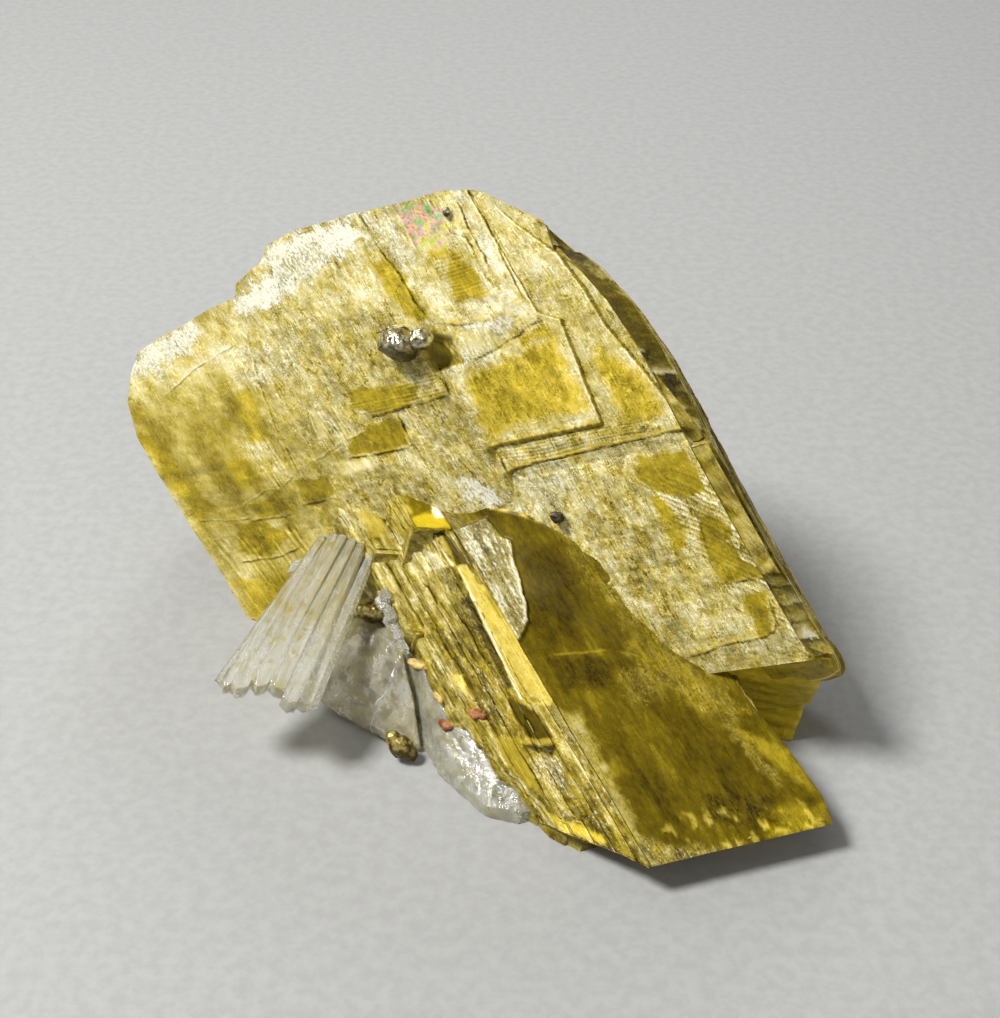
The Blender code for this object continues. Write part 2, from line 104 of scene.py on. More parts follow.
# Growth layers on the stepped face: number of layers high, how sharp the edge is, outline across and up the face
TERRACES = table("""
    1.2 1: 3.5 3.2, 18.9 3.6, 17.8 9.5, 17 13, 16.9 16.4, 16.4 19.8, 14.6 22.9, 13.6 25.2, 13 30, -34 30,
        -34 2.8, -12 2.9, -5.3 4.2, -1 4.6, -0.6 2.4;
    1.4 0: 4.6 4.3, 11.9 4.4, 16.6 4.2, 13 4.9, 6 5;
    2.2 1: 2.6 5.4, 12.4 5.3, 13.8 14.4, 12.4 15.4, 12.3 20, 12.3 30, -34 30, -34 3.3, -25 3.4, -24.9 4.7,
        -22 4.8, -21.9 5.5, -17.2 5.6, -5.4 4.9, -1 4.9;
    2.8 0: 10.4 17, 10.4 30, -16.6 30, -16.8 6.2, -5.4 5.4, -0.5 8.9, 1.6 9.2, 6.4 14.2, 9.4 16;
    3.1 0: 9.7 17.6, 10.2 20.2, 9 24.8, 6.6 23.6, 6.8 18.2;
    3.5 0: 5.5 22.8, 5.5 30, -16.2 30, -16.4 7.4, -13.8 7.5, -13.6 8.4, -10.6 8.6, -4.1 6.4, -4.1 10.1,
        1.5 10.3, 1.7 16, 2.7 17, 2.9 21;
    4.4 0: 2.4 20.8, 2.6 30, -15.8 30, -15.9 9.6, -9 9.9, -4.4 10.5, 1.2 10.7, 1.3 15.6, 2.3 17.4;
    5 0: -15.4 10.8, -9.6 11.2, -9 19.6, -9.4 30, -15.2 30;
    4.8 0: -7 18.6, -1.6 18.8, -1.2 30, -7.2 30;
    3.1 0: -34 6.6, -18 7, -17.6 14, -19.4 30, -34 30;
    3.6 0: -34 9, -23 9.4, -22.6 15.6, -26 30, -34 30;
    0.9 0: -27.2 -6, -20.4 -6, -20.2 1.4, -27 1.6;
    0.6 0: -18.6 -4, -9.4 -4.4, -9 1, -12.6 1.4, -18.4 1.2;
    0.6 0: 3.4 -9.7, 14.9 -9.7, 20.8 -9.6, 20.8 2.2, 3.4 2;
    1 0: 8 -3.6, 12.4 -3.8, 16.4 -3.6, 16.2 1.2, 8.2 1;
    1.1 0: 2.4 -15, 10 -15.1, 16 -14.8, 17 -13.9, 16.9 -11.5, 16 -8.8, 2.4 -8;
    4 0: -10.4 5.6, -6 5.4, -5.6 9.4, -10.2 9.8
""")

# Thin steps, each a line with the higher side on its left as it runs: drop in millimetres, then how strong the pale
# lip (a painted highlight), the dark foot (painted shadow under the step) and the gold above it (a painted glow) are
CREASES = table("""
    0.34 0.5 1 0.3: 3.3 16.8, 3.1 18.6, 3.1 21.1, 2.6 23.9, 2.6 28.2;
    0.12 0.7 0.35 0: 5.7 22.3, 5.9 25, 5.5 28;
    0.14 0.6 0.7 0.1: 10.1 17.4, 9.9 19.9, 10.2 22.7, 9.2 23.3, 9 25.2, 8.7 28;
    0.26 0.7 1 0.4: 10.4 19.2, 10.7 21, 10.7 23.7, 11 25.3, 10.8 26.6;
    0.2 0.6 0.9 0.3: 12.9 14.6, 11.9 17, 12 19.4, 12.2 21.9, 12.4 24.1, 12.5 28.4;
    0.12 0.1 0.7 0.6: 3.3 16.6, 6.2 15.8, 7.6 15.6, 8.6 15.9;
    0.1 0.1 0.8 0.1: 4.8 12.7, 8 13.5, 10.1 14.1, 11.1 14.6, 13.3 14.8;
    0.3 0.2 0.8 1: -6.5 9.9, -2.3 10.1, 1.7 10.2;
    0.26 0.4 0.9 0.3: 1.6 9.9, 1.9 12.5, 2 13.5;
    0.1 0.4 0.8 0.2: 2.4 2.4, 2.5 5.4;
    0.12 0.4 0.8 0.2: -0.2 2, -1.1 5.2;
    0.06 0.3 0.6 0.1: 5.2 1.6, 5.4 3.4;
    0.1 0.8 0.1 0: -23.6 4.6, -20.1 5.7, -18.9 5.4, -15.7 6.8, -12.6 7.6, -10.2 8.3, -7 8.9;
    0.12 0.5 0.3 0.2: -16.1 5.9, -15.4 10.7, -14.4 15.5, -12.8 20.1;
    0.14 0.7 0.7 0.4: -10.6 6.9, -7.5 6.6, -4.1 6.7;
    0.16 0.6 0.9 0.4: -4.2 6.2, -4 8.4, -3.9 10;
    0.12 0.3 0.5 0.3: -17.8 3.7, -14.4 3.8, -13.3 3.5;
    0.16 0.6 0.4 0.3: -27.4 -0.3, -22.6 -0.5, -19.6 0.2;
    0.12 0.5 0.4 0.2: -23.6 3.3, -18.6 3.1;
    0.14 0.7 0.2 0.1: -28.9 4.3, -24.6 3.5, -23 3.6;
    0.12 0.9 0.3 0.1: -12 8.6, -11.4 11.4;
    0.2 0.2 0.6 0.5: 14.2 -9.5, 14.9 -9.65, 17.5 -9.8, 21.2 -9.6;
    0.14 0.4 0.4 0.45: 8.4 -15.6, 10.3 -15.3, 12.7 -14.8, 15.6 -14.7, 16.7 -14.3, 17.2 -13.6, 17.4 -12.5,
        17.1 -11;
    0.07 0.3 0.3 0.4: 14.2 -9.6, 15.1 -6.2, 15.7 -3.6, 16.1 -1.5;
    0.1 0.6 0.1 0: -24.8 16, -20 18, -14 19
""")

# Thin plates that only ruffle the surface: height in millimetres, outline
FILMS = table("""
    0.05: 5.9 6, 11.8 6.1, 12.9 13.6, 9 14, 6.4 12;
    0.05: 12.6 16.4, 15.6 15.8, 15.2 21, 13.2 24.6, 12.7 24.6;
    0.05: -3 11.5, 0.8 11.4, 1 15, -1.4 18, -3.2 18.2;
    0.06: 4.6 -7.2, 10.6 -7.4, 13.8 -7, 13.4 -4.2, 5 -4.4;
    0.06: 7 -14, 13.6 -14.2, 14.6 -11, 7.4 -10.6;
    0.05: -8.6 12.2, -4.8 12.4, -4.4 17.4, -8.2 17.2
""")

# Where thin layers crop out: lean, spacing, strength, outline
STACKS = table("""
    0.02 0.3 0.8: 1.9 5, 5.2 5.2, 12.4 5.1, 15.6 4.9, 17.4 4.2, 14.9 3.8, 8.9 3.5, 4.8 3.3;
    0 0.36 0.9: 3.8 3.4, 8.2 3.6, 9.2 3.2, 7.5 2.4, 4.5 2.4;
    1 0.62 1.2: -19.4 11, -16.9 10, -16 9.3, -16.2 5.6, -19 5.6;
    1 0.38 0.8: -11.6 8, -9 8.4, -7.9 11.2, -10.6 11.2;
    0.05 0.4 0.2: 8.6 -11.4, 18 -11.2, 18.4 -16.8, 8.6 -16.8;
    0 0.3 0.6: 6.2 18, 9.6 17.8, 9.4 22, 6.4 22.2;
    0.85 0.55 1: -28.6 -12, -18 -12, -18 2, -28.6 2;
    0.02 0.3 0.8: -8 12.6, 1.4 12.4, 1.4 10.2, -7 10.2;
    1 0.36 0.5: 3 12.6, 12.6 13.6, 13.6 14.4, 11 14.6, 3 13.4
""")

# Clearer gold in the face: how dark, how soft its edge, outline
WINDOWS = table("""
    0.2 0.5: 3.8 11.2, 8.4 12.2, 12.8 13.2, 12.5 9.3, 12.2 6.4, 6.9 6.9, 3 5.8, 2.6 7.5;
    0.26 0.2: 5 7.6, 7 7.8, 7.4 9.8, 5.4 10;
    0.34 0.15: 9.2 11, 10.6 11.2, 10.8 12.8, 9.4 12.6;
    0.3 0.2: 9.6 13, 12.6 13.4, 12.9 14.4, 10.2 14;
    0.42 0.15: 13.7 2.2, 17.5 1.7, 17.8 -0.8, 17.4 -1.8, 15.6 -2.1, 13.9 -1.1, 12.9 0.1;
    0.5 0.12: 15.8 -3.9, 17.2 -4.1, 17.7 -5.4, 17.3 -6, 15.1 -5.7;
    0.32 0.2: 12.9 -1.4, 13.7 -1.5, 14.2 -4.4, 13.5 -5.9, 12.6 -6.1, 12.7 -3.5;
    0.46 0.15: 15.1 -5.9, 17.5 -6.3, 17.2 -7.9, 18.4 -9.4, 15.1 -9.6, 14.6 -9.1, 15 -7.2;
    0.46 0.2: 16 -10.8, 17.7 -10.9, 16.9 -13, 16.6 -14.4, 15.3 -14.9, 15.7 -12.2;
    0.16 0.6: 14.4 5, 17.8 4.8, 17.6 9, 15.6 12, 14.4 10;
    0.38 0.3: 6.6 17.9, 9.4 17.7, 9.3 20.6, 8.4 21.8, 7 20;
    0.24 0.4: 6 21.4, 8.6 21.6, 8.2 22.6, 6.2 22.6;
    0.26 0.3: 3.3 22.6, 3.6 17, 2.2 17.2, 1.2 20.5, 1.4 22.5;
    0.4 0.2: -6.9 12.6, -0.5 11.8, -1.2 10.6, -4.6 10.2, -6.1 10.2, -7.9 11;
    0.46 0.12: -9.1 8.5, -4.7 9.6, -3.9 9.1, -4.4 6.9, -6.5 6.4, -9.9 7.2;
    0.42 0.12: -16.7 5.9, -13.4 5.8, -13.7 4, -16.6 3.5, -17.2 4.1;
    0.3 0.15: -22.7 4.6, -19.4 5.2, -18.6 3.4, -22.4 3.3;
    0.36 0.15: -25.1 3.1, -22.5 3.3, -20.7 1.3, -23.6 -0.5, -26.3 0.6;
    0.26 0.4: -18.6 14.6, -15.6 14.8, -16.2 10.2, -18.6 10.2;
    0.2 0.5: -22.6 9.2, -19.8 9.2, -19.6 6.4, -22.6 6.2;
    0.26 0.5: -29.8 13.4, -27.8 13, -26.4 5, -28.6 4;
    0.22 0.8: -29 -14, -22 -14, -22 -2, -29 -2
""")

# Frosted white places, which along the top edge also stand for a painted highlight where the light glares: how much,
# outline
FROST_AND_GLARE = table("""
    1: -12.5 21.6, -10.8 23.3, -7.8 24.7, -6.1 26.4, 2 27.2, 2.2 24.8, -2.1 23.6, -5.8 22.4, -9.5 21.4;
    0.6: -8 22.6, -3 23, -1.6 25.6, -6.2 25.6;
    0.5: 3 24, 5.2 24.2, 5.4 27, 2.8 27;
    0.4: 3.2 21, 5 21, 5.4 24, 3.2 24.2;
    0.4: 2.7 14, 6.5 13.7, 7.4 13.1, 4.3 11.8, 2 11.6;
    0.75: 5.4 15.6, 8.8 14.6, 9.8 15.6, 6.4 16.6;
    0.85: -2.1 3.2, -0.3 3, 1.9 -0.3, 0.1 -0.1, -2 1.3;
    0.36: 2 3.3, 8.1 3.2, 7.7 0.4, 4.7 -0.9, 2.1 0.9;
    0.25: -16 15, -10 15, -8 18, -15 18.4;
    0.75: -29 19, -24.7 20.9, -17 22.5, -17 20.5, -24 18.6;
    0.45: 10.9 17, 11.6 17, 12.2 26, 11.2 26
""")

# Plain patches of light or shadow in the stone: light, softness, calm, outline
DRIFTS = table("""
    0.12 1.6 0.4: -29.7 16, -29.7 20.7, -24 21.4, -15 21.6, -15 18, -24 17;
    0.1 0.6 0.6: -29.7 2, -28.4 2, -28.4 14, -29.7 14;
    0.16 0.7 0.1: -21 10.6, -17.4 10.6, -16.6 6.4, -19.8 6;
    0.12 0.8 0.2: -15.8 21, -12.8 20.4, -12.4 15.4, -15.4 15;
    0.26 0.25 0.7: -12.2 9, -11 9, -10 11.2, -11.2 11.6;
    0.24 0.25 0.7: -12 6.8, -8.6 6.4, -8.8 5.4, -12 5.4;
    0.16 0.7 0.3: 4.2 19.6, 5.8 19.6, 6 15.9, 4.4 16.2;
    0.1 1 0.2: -8.6 22.4, 1.8 23.2, 1.4 19.4, -7 19;
    0.18 0.4 0.4: 11.2 7.4, 12.6 7.4, 13.4 13, 12.2 13;
    0.14 0.3 0.6: 10.2 5.6, 12.4 5.6, 12.6 7.2, 10.6 7.4;
    0.12 0.3 0.4: 17.6 5, 18.6 5, 17.2 12, 16.4 12;
    0.1 0.8 0: 10.8 -12, 16 -11.8, 15.4 -14.2, 10.6 -14.4;
    -0.08 1.2 0: 7 -2, 12 -2, 11.4 -9, 7 -9;
    0.06 0.8 0.25: 2.6 5.4, 17 5.2, 16.8 16, 14 24, 12.4 24, 2.6 12;
    0.08 1.2 0.1: 9.6 27, 14 26, 17.5 18, 13 14.6, 5 16.4, -1 20, 0 26;
    -0.11 2 0.8: -28.5 15, -20 15.5, -19 4, -27 1
""")

# Dark places in the band along the right side
DARK_BAND = table("""
    17.6 2.1, 21.1 1.9, 21.4 -1.3, 21.2 -2.6, 19.6 -2.9, 18.1 -1.9;
    20.5 -3.7, 21.2 -4.2, 21.2 -5.8, 20.4 -5.9;
    20 -6.8, 21 -6.8, 20.8 -9.2, 20.3 -9.9, 18.8 -9.6;
    20.8 -10.5, 21.4 -10.9, 21.1 -15, 20.6 -16, 19.9 -15.8, 19.5 -14.3, 20.3 -12.9;
    17 20, 21 14, 21.2 9, 19 10, 17.6 16;
    19.6 6.4, 21.2 6.4, 21.2 3, 19.8 3.6
""")

# Broad plates on the back: height in millimetres, outline
BACK_PLATES = table("""
    0.7: -25 -12, -25.4 11, -21.6 17.4, -9 20.6, 11 22.6, 15.4 15, 16.4 -12, 14 -16.8;
    1.5: -19 -12, -19.6 8, -14 13.6, -2 14.2, 7.6 16, 9.2 3, 8.2 -14;
    2.2: -8 -9, -8.4 6, 3 7.4, 4.2 -8
""")

# Outline of the stepped face: how high its top comes across it, then its left and right ends up it; and how wide the
# band along the right side is
TOP = ([-24.7, -22, -17, -12.1, -11.4, -8.3, -6.6, -3.9, 10.3, 13.2, 15],
       [20.7, 21.5, 22.3, 22.9, 24, 25.2, 26.5, 27, 27, 26.4, 24.6])
LEFT = [-17.2, 13, 16.5, 19, 20.7], [-29.7, -29.7, -28.6, -26.6, -24.7]
RIGHT = ([-17.2, -15.5, -8, 1, 7.5, 11.5, 15.2, 18, 20.2, 22.4, 24.6],
         [18.4, 18.2, 18.1, 18.2, 18.5, 18.5, 18.2, 17.5, 16.3, 16.8, 15])
BAND = [-17.2, -15.5, -8, 18, 20.2, 22], [1.8, 1.7, 1.7, 1.7, 1.7, 0]
HOLLOW = spots("1.7 12.6, 4 12.9, 4.2 14.9, 2.6 15.5, 1.5 13.8")
FILM_SPOT = spots("6.2 26.4, 8.4 26.2, 9.6 25.4, 9.4 23.8, 8 22.5, 5.9 22.8, 5.6 24.5")

# Where the smooth face sweeps up against the broad crystal: along, across, height, reach
SADDLE = np.array(spots("""
    -2 0 0.1 0.8, 0.6 0.4 0.5 1, 2.6 1.8 1.4 1.8, 5.8 4.2 2.7 3.6, 8.6 6.1 3.4 5, 11.9 7.9 3 5.4,
    13.8 8.9 2.3 5, 15.9 9.8 1.4 4.2, 19.2 11.1 0.3 2.6, 22 12.4 0 1.5
"""))

# Ledges of the left side in order of depth: depth, how far out, where each ends along the ridge
LEDGES = spots("""
    -0.15 -2.9 3.6, 0.45 -1.2 20.8, 1.3 -1.9 31, 2.2 -2.6 30, 3.1 -5 2.4, 3.2 -3.2 27.2, 4 -3.9 24,
    4.35 -5.3 9.6, 4.9 -4.6 17.6
""")

# Marks on the smooth face: soft edge, ragged edge, wanted masks, outline along and across
SMOOTH_MARKS = table("""
    0.6 0.4 tone=0.14 glow=0.7 calm=0.6: -6 -1, 3.4 -1, 4 2.6, -6 2.6;
    1.1 0.9 tone=0.15 calm=0.45 frost=0.04: 5.8 8.7, 7.7 9.7, 13.4 11.5, 18.7 11.2, 17.3 9.4, 12.5 8.5, 9.1 7.6;
    1 1 tone=0.19 calm=0.5 frost=0.06: 16.4 9.9, 18.7 11.2, 21.6 13.2, 25.7 14.6, 26.5 12, 23.1 9.7, 19.6 8.6;
    0.9 1.2 tone=0.1 calm=0.5 frost=0.08: 18.8 5.2, 19.6 9.5, 22.8 9.8, 23.2 6.2, 21.3 5.5;
    1.2 0.6 tone=-0.06 calm=1: 5.8 4.9, 6.9 7.4, 12.2 7.4, 16.2 4.8, 16.4 1.5, 11.2 2.9;
    0.9 0.6 tone=-0.08 calm=0.9: 17.5 2, 17.7 4.5, 18.9 6.9, 20.7 5, 20.4 1.8;
    0.5 0.5 tone=0.16 glow=0.5 calm=0.7: 16.7 8, 17.3 9.4, 19.5 9.3, 18.7 7.8;
    0.5 0.5 tone=0.34 calm=0.5 frost=0.1 glow=0: 21.9 -0.4, 22.8 1.5, 31.8 0.9, 36.1 0.5, 36.4 -1.5, 27.9 -1.2;
    0.5 0.3 tone=0.26 glow=0.7 calm=0.8: 26.5 12, 28.7 14.4, 29.7 15.3, 33.2 15.2, 31.5 14;
    0.5 0.4 tone=0.2 glow=0.8 calm=0.7: 33.9 10.9, 34.6 15.3, 36.4 15.3, 36.4 9.5;
    0.7 0.8 tone=-0.06 calm=0.6: 31.8 6.9, 33.1 12, 35 10.5, 33.6 5.9;
    0.4 0.3 tone=0.14: 27 1.7, 27.3 2.8, 28.6 2.5, 28.6 1.3;
    0.3 0.8 tone=0.14 frost=0.14 calm=0.5: 24.8 11.9, 25 12.7, 30.6 13.1, 32.6 13.6, 32.1 12.6, 27.7 11.8;
    0.5 0.6 tone=0.2 frost=0.25 calm=0.2: 35 -0.4, 34 1.5, 35.1 2.2, 36.4 6.4, 36.9 3.2, 36.7 0.1
""")

# Thin pale lines on the smooth face: half width, wanted masks, line
SMOOTH_LINES = table("""
    0.14 tone=0.62 glow=0.2: 0.2 1, 1.7 3.5, 3.1 6.1, 5.2 8.3, 7.4 9.7, 13.4 11.5;
    0.12 tone=0.22 glow=0.4: 17.1 2.3, 17.4 4.2, 17.7 6.8, 18.6 8.2, 19.5 9.3;
    0.08 tone=0.1: 23 7.4, 23.3 6.6, 25.5 5.8, 27.6 5.5
""")

# Marks on the left side as one looks at it past the ridge: soft edge, ragged edge, wanted masks, outline
SIDE_MARKS = table("""
    0.12 0.2 tone=0.36 calm=0.4 glow=0.4 frost=0: -0.5 -4.4, -0.7 -2.2, 3.6 -2.8, 3.3 -4.1, 2.6 -4.8;
    0.2 0.3 tone=0.34 calm=0.8 glow=0.4 frost=0: -0.3 -6.4, -0.1 -4.7, 2.5 -5.2, 3.2 -6.6, 2.4 -6.9;
    0.08 0.1 tone=0.5 calm=0.9 glow=1 frost=0: -0.9 -2, -0.2 0.2, 1 0.3, 3.5 0.1, 3.6 -2.8, 1.2 -2.4;
    0.25 0.3 tone=0.08 calm=0.8 glow=0.8: -0.7 -2.1, -0.2 0.2, 1.5 -0.8, 1.5 -2.2;
    0.12 0.5 tone=0.7 frost=0.8 calm=0 glow=0: 1.3 -1, 0.2 0.1, 0.7 0.7, 2.8 0.5, 2.2 -0.7;
    0.06 0.1 tone=-0.15 calm=0.8 glow=0.3 frost=0: 3.7 -2.4, 3.5 0.1, 3.9 0.1, 4.2 -2.4;
    0.08 0.12 tone=-0.06 calm=0.9 glow=0.2 frost=0: 3.9 -0.9, 3.9 0.4, 7.2 0.1, 7.1 -1.2, 4.8 -0.9;
    0.08 0.1 tone=0.8 frost=0.9: 5.2 -1.7, 5.4 -1.5, 7.2 -1.4, 7.1 -1.7;
    0.3 0.5 tone=0.1 calm=0 frost=0.16: 7.5 -2.9, 7.3 -1.4, 9.9 -1.5, 13.6 -1.7, 18.3 -2.2, 18 -3.4, 13.9 -3.4,
        9.8 -3.1;
    0.12 0.2 tone=-0.04 calm=0.4 frost=0: 9.8 -1.55, 11.5 -1.8, 16 -2.05, 19.5 -2.35, 19.4 -2.9, 14.8 -2.6,
        10.7 -2.1;
    0.15 0.4 tone=0.48 frost=0.45 calm=0: 5.3 -3.6, 5.5 -1.9, 7.1 -2.1, 7.3 -3.9;
    0.07 0.1 tone=0.5 calm=0.65 glow=0.55 frost=0: 7.2 -1.3, 7.4 0.8, 9.5 0.9, 18.2 0.9, 20.4 0.5, 21.6 -0.3,
        21.2 -2.3, 17.6 -2.1, 13 -1.75, 9 -1.3;
    0.12 0.2 tone=0.3 glow=0.6 calm=0.7: 9.4 0.1, 9.5 0.6, 13.3 0.1, 12.6 -0.4, 10.4 -0.2;
    0.06 0.1 tone=-0.05 calm=0.6: 7.3 0.95, 9.3 1.1, 9.4 0.75, 7.3 0.7;
    0.06 0.05 tone=0.85 calm=0.6 frost=0.2 glow=0.2: 7.4 -1.35, 9 -1.4, 13 -1.8, 17.6 -2.15, 20.6 -2.4,
        20.6 -2.15, 13 -1.55, 7.4 -1.1;
    0.1 0.15 tone=0 calm=1 glow=0.3 frost=0: 20.4 -3.3, 21.3 -2.3, 22.2 -1.7, 24.7 -1.6, 24.7 -3.4, 22.6 -3.7;
    0.1 0.15 tone=0.34 calm=0.6 glow=0.6: 23.9 -5.9, 24.5 -1.6, 24.9 -1.6, 24.5 -6.1;
    0.1 0.15 tone=-0.08 calm=0.9 glow=0.3: 24.8 -4.2, 25.2 -1.8, 26 -2.4, 25.6 -3.4;
    0.3 0.5 tone=0.28 calm=0 frost=0.45: 26 -4.4, 26.4 -2.1, 29.1 -2.8, 28.8 -3.8, 27.3 -4.3;
    0.12 0.2 tone=0.32 calm=0.9 glow=0.6 frost=0: 23.9 -6.1, 24.5 -4.4, 26.9 -4.7, 29.2 -5, 28.8 -5.7, 26.2 -6.2;
    0.15 0.3 tone=0.55 glow=0.7 calm=0.4: 17.5 -6.6, 17.7 -5.8, 19.6 -6.4, 18.6 -6.9;
    0.2 0.2 tone=0.56 glow=0.9 calm=0.6: 31 -5.6, 31.4 -4.9, 33.4 -2.2, 34.2 -2.3, 33 -5
""")

FLAKE = spots("3.6 -0.9, 9 -0.9, 15.6 -0.6, 15.2 0.3, 13.8 1.6, 10.8 2.6, 7 3.2, 4.4 2.2")
TIP = spots("33.2 2.6, 36.4 2.4, 36.4 14.5, 33.6 13.6")

# Corners of the two lumps under the broad crystal, along its edges
FOOT = spots("""
    8.5 -16.6 0.3, 18.6 -16.9 0.3, 19.9 -17.1 2, 18.2 -17.9 4, 17 -18.9 5, 15.7 -21.1 5.5, 10.6 -21.1 5,
    3 -21 5, 16 -18 11, 12 -20 11.4, 3 -20 11.6, 8 -13 11
""")
HEEL = spots("""
    15.4 -21 5.4, 14.3 -22 6.2, 13.2 -23.3 6.6, 11.4 -25.2 7, 10.2 -21 4.9, 3 -25 7.4, 3 -18 11, 13 -19.6 11
""")

# Six prisms of the quartz fan: root, tip, radius
FAN = np.array(spots("""
    -11.5 -0.9 10.3 -16.1 -14 6.2 1.1, -11.9 1.3 11.4 -17.2 -14.7 6.6 1.3, -12.1 3 12.3 -18.6 -13.9 6.9 1.25,
    -12.7 3.6 12.8 -19.9 -13.2 7.1 1.15, -13.9 2.7 12.2 -21.2 -12.7 7.3 1.2, -16.2 -0.6 10.4 -22.1 -11.8 7.5 1
"""))

# Corners of the grey quartz, then the line of the blade's foot and of its crest
CHUNK = spots("""
    -15.4 -7.6 1.5, -15.2 -7.4 2.8, -14.3 -6.3 5.6, -12.3 -4.6 6.6, -9.4 -4.6 6.5, -8 -6.6 5.4, -7.2 -9.3 3.6,
    -6.5 -12.4 0.4, -9.3 -11.5 0.5, -12.5 -9.6 0.8, -11.7 -8.2 4.2, -9.8 -10.1 2.6, -13 -8.7 2.6, -15 -2.4 0,
    -9.4 -3.4 0, -14.2 -1.2 5, -9.6 -1 6, -15.4 -6 0.2, -8 -11.6 0
""")
BLADE_FOOT = np.array(spots("""
    -8.4 -6.4, -7.1 -10.6, -5.9 -12.7, -5 -15, -2.5 -17.8, -1.3 -19.4, 1.5 -20.1, 2.2 -19.8
"""))
BLADE_CREST = np.array(spots("""
    -8.3 -5.6 6.2, -6.5 -7.6 6, -5.9 -9.3 4.9, -4.3 -10.9 4.1, -1.8 -13.9 3.1, -0.2 -16.9 2.3, 1.5 -18.5 1.7,
    2.2 -19.4 1.2
"""))

# Small prisms: root, tip, radius
SPIKES = spots("""
    -9.9 -3.1 10.1 -9.3 -3.9 9.1 0.55, -10.2 -3.2 9.2 -9.3 -4.3 8.6 0.6, -9.4 -4.2 8.9 -8.8 -5.2 7.9 0.6,
    -9.6 -4.3 7.9 -8.5 -5.4 7.6 0.5, -8.9 -5.2 7.9 -8.2 -6.4 6.9 0.55, -8.4 -6.2 7.1 -7.7 -7.2 6.4 0.45,
    -16.4 1 9.6 -18.2 0 9.4 0.8
""")

# The stone's colours from deep olive to cream, the same with a milky haze in it, and the stronger gold of a painted
# glow, where light would gather in an edge; then the coloured film. Each stop is a place and a colour
HONEY = spots("""
    0 0.022 0.015 0.0005, 0.22 0.105 0.073 0.002, 0.42 0.285 0.212 0.018, 0.6 0.49 0.395 0.08,
    0.78 0.7 0.61 0.26, 1 0.92 0.88 0.64
""")
MILKY = spots("""
    0 0.045 0.036 0.008, 0.25 0.155 0.13 0.036, 0.45 0.34 0.3 0.12, 0.65 0.57 0.52 0.29,
    0.82 0.77 0.73 0.5, 1 0.94 0.92 0.78
""")
GLOW_GOLD = spots("0 0.035 0.02 0.0005, 0.25 0.17 0.122 0.001, 0.5 0.42 0.31 0.006, 0.75 0.74 0.53 0.02, 1 0.95 0.8 0.18")
FILM = spots("""
    0 0.5 0.55 0.03, 0.3 0.62 0.66 0.1, 0.46 0.8 0.4 0.42, 0.62 0.72 0.25 0.42, 0.75 0.12 0.52 0.16, 1 0.07 0.42 0.07
""")


# ---------------------------------------------------------------- numbers over a surface

def ramp(value, start, end):
    """0 before start, 1 after end, eased between."""
    part = np.clip((value - start) / (end - start), 0, 1)
    return part * part * (3 - 2 * part)


def lattice(column, row, seed):
    """A repeatable number from 0 to 1 for each whole-numbered place."""
    mixed = column.astype(np.int64) * 374761393 + row.astype(np.int64) * 668265263 + seed * 974634777
    mixed = ((mixed ^ (mixed >> 13)) * 1274126177) & 0xFFFFFFFF
    mixed = ((mixed ^ (mixed >> 15)) * 2246822519) & 0xFFFFFFFF
    return ((mixed ^ (mixed >> 16)) & 0xFFFFFF) / float(0xFFFFFF)


def noise(x, y, seed=0):
    """Smooth noise from 0 to 1: the four numbers round each place, eased between along both directions."""
    column, row = np.floor(x), np.floor(y)
    u, v = x - column, y - row
    u, v = u * u * (3 - 2 * u), v * v * (3 - 2 * v)
    low, high = (lattice(column, at, seed) * (1 - u) + lattice(column + 1, at, seed) * u for at in (row, row + 1))
    return low * (1 - v) + high * v


def fractal(x, y, seed=0, octaves=4):
    """Noise of several sizes added up, each half as large and half as strong as the one before, from 0 to 1."""
    total = sum(noise(x * 2 ** step, y * 2 ** step, seed + 17 * step) * 0.5 ** step for step in range(octaves))
    return total / sum(0.5 ** step for step in range(octaves))


def swell(x, y, seed, octaves=4):
    """The same, from -0.5 to 0.5."""
    return fractal(x, y, seed, octaves) - 0.5


def blocks(x, y, width, height, seed=0):
    """A number from -0.5 to 0.5 for each block of a brick pattern whose rows are shifted by uneven amounts."""
    row = np.floor(y / height + 0.35 * noise(x / (3 * width), y * 0, seed + 3))
    shift = lattice(row, row * 0, seed + 5)
    size = width * (0.6 + 0.8 * lattice(row, row * 0 + 1, seed + 7))
    return lattice(np.floor(x / size + shift), row, seed) - 0.5


def pieces(line, x, y):
    """For each piece of a line: where it starts, the height at which it ends, its run, how far along it (0 to 1) the
    nearest place lies, and the way from there to each point."""
    for (x0, y0), (x1, y1) in zip(line, line[1:]):
        dx, dy = x1 - x0, y1 - y0
        part = np.clip(((x - x0) * dx + (y - y0) * dy) / (dx * dx + dy * dy), 0, 1)
        yield x0, y0, y1, dx, dy, part, x - x0 - part * dx, y - y0 - part * dy


def outside(outline, x, y):
    """Distance of each place from a closed outline, negative within it, and how far the nearest side faces +y: the
    least distance to any side, signed by how often a line toward +x crosses the outline."""
    best, rise, within = 1e9, 0.0, np.zeros(np.shape(x), bool)
    for x0, y0, y1, dx, dy, _, off_x, off_y in pieces(outline + outline[:1], x, y):
        square = off_x ** 2 + off_y ** 2
        rise = np.where(square < best, off_y, rise)
        best = np.minimum(best, square)
        if dy:
            within ^= ((y0 > y) != (y1 > y)) & (x < dx * (y - y0) / dy + x0)
    sign, length = np.where(within, -1.0, 1.0), np.sqrt(best)
    return sign * length, sign * rise / np.maximum(length, 1e-3)


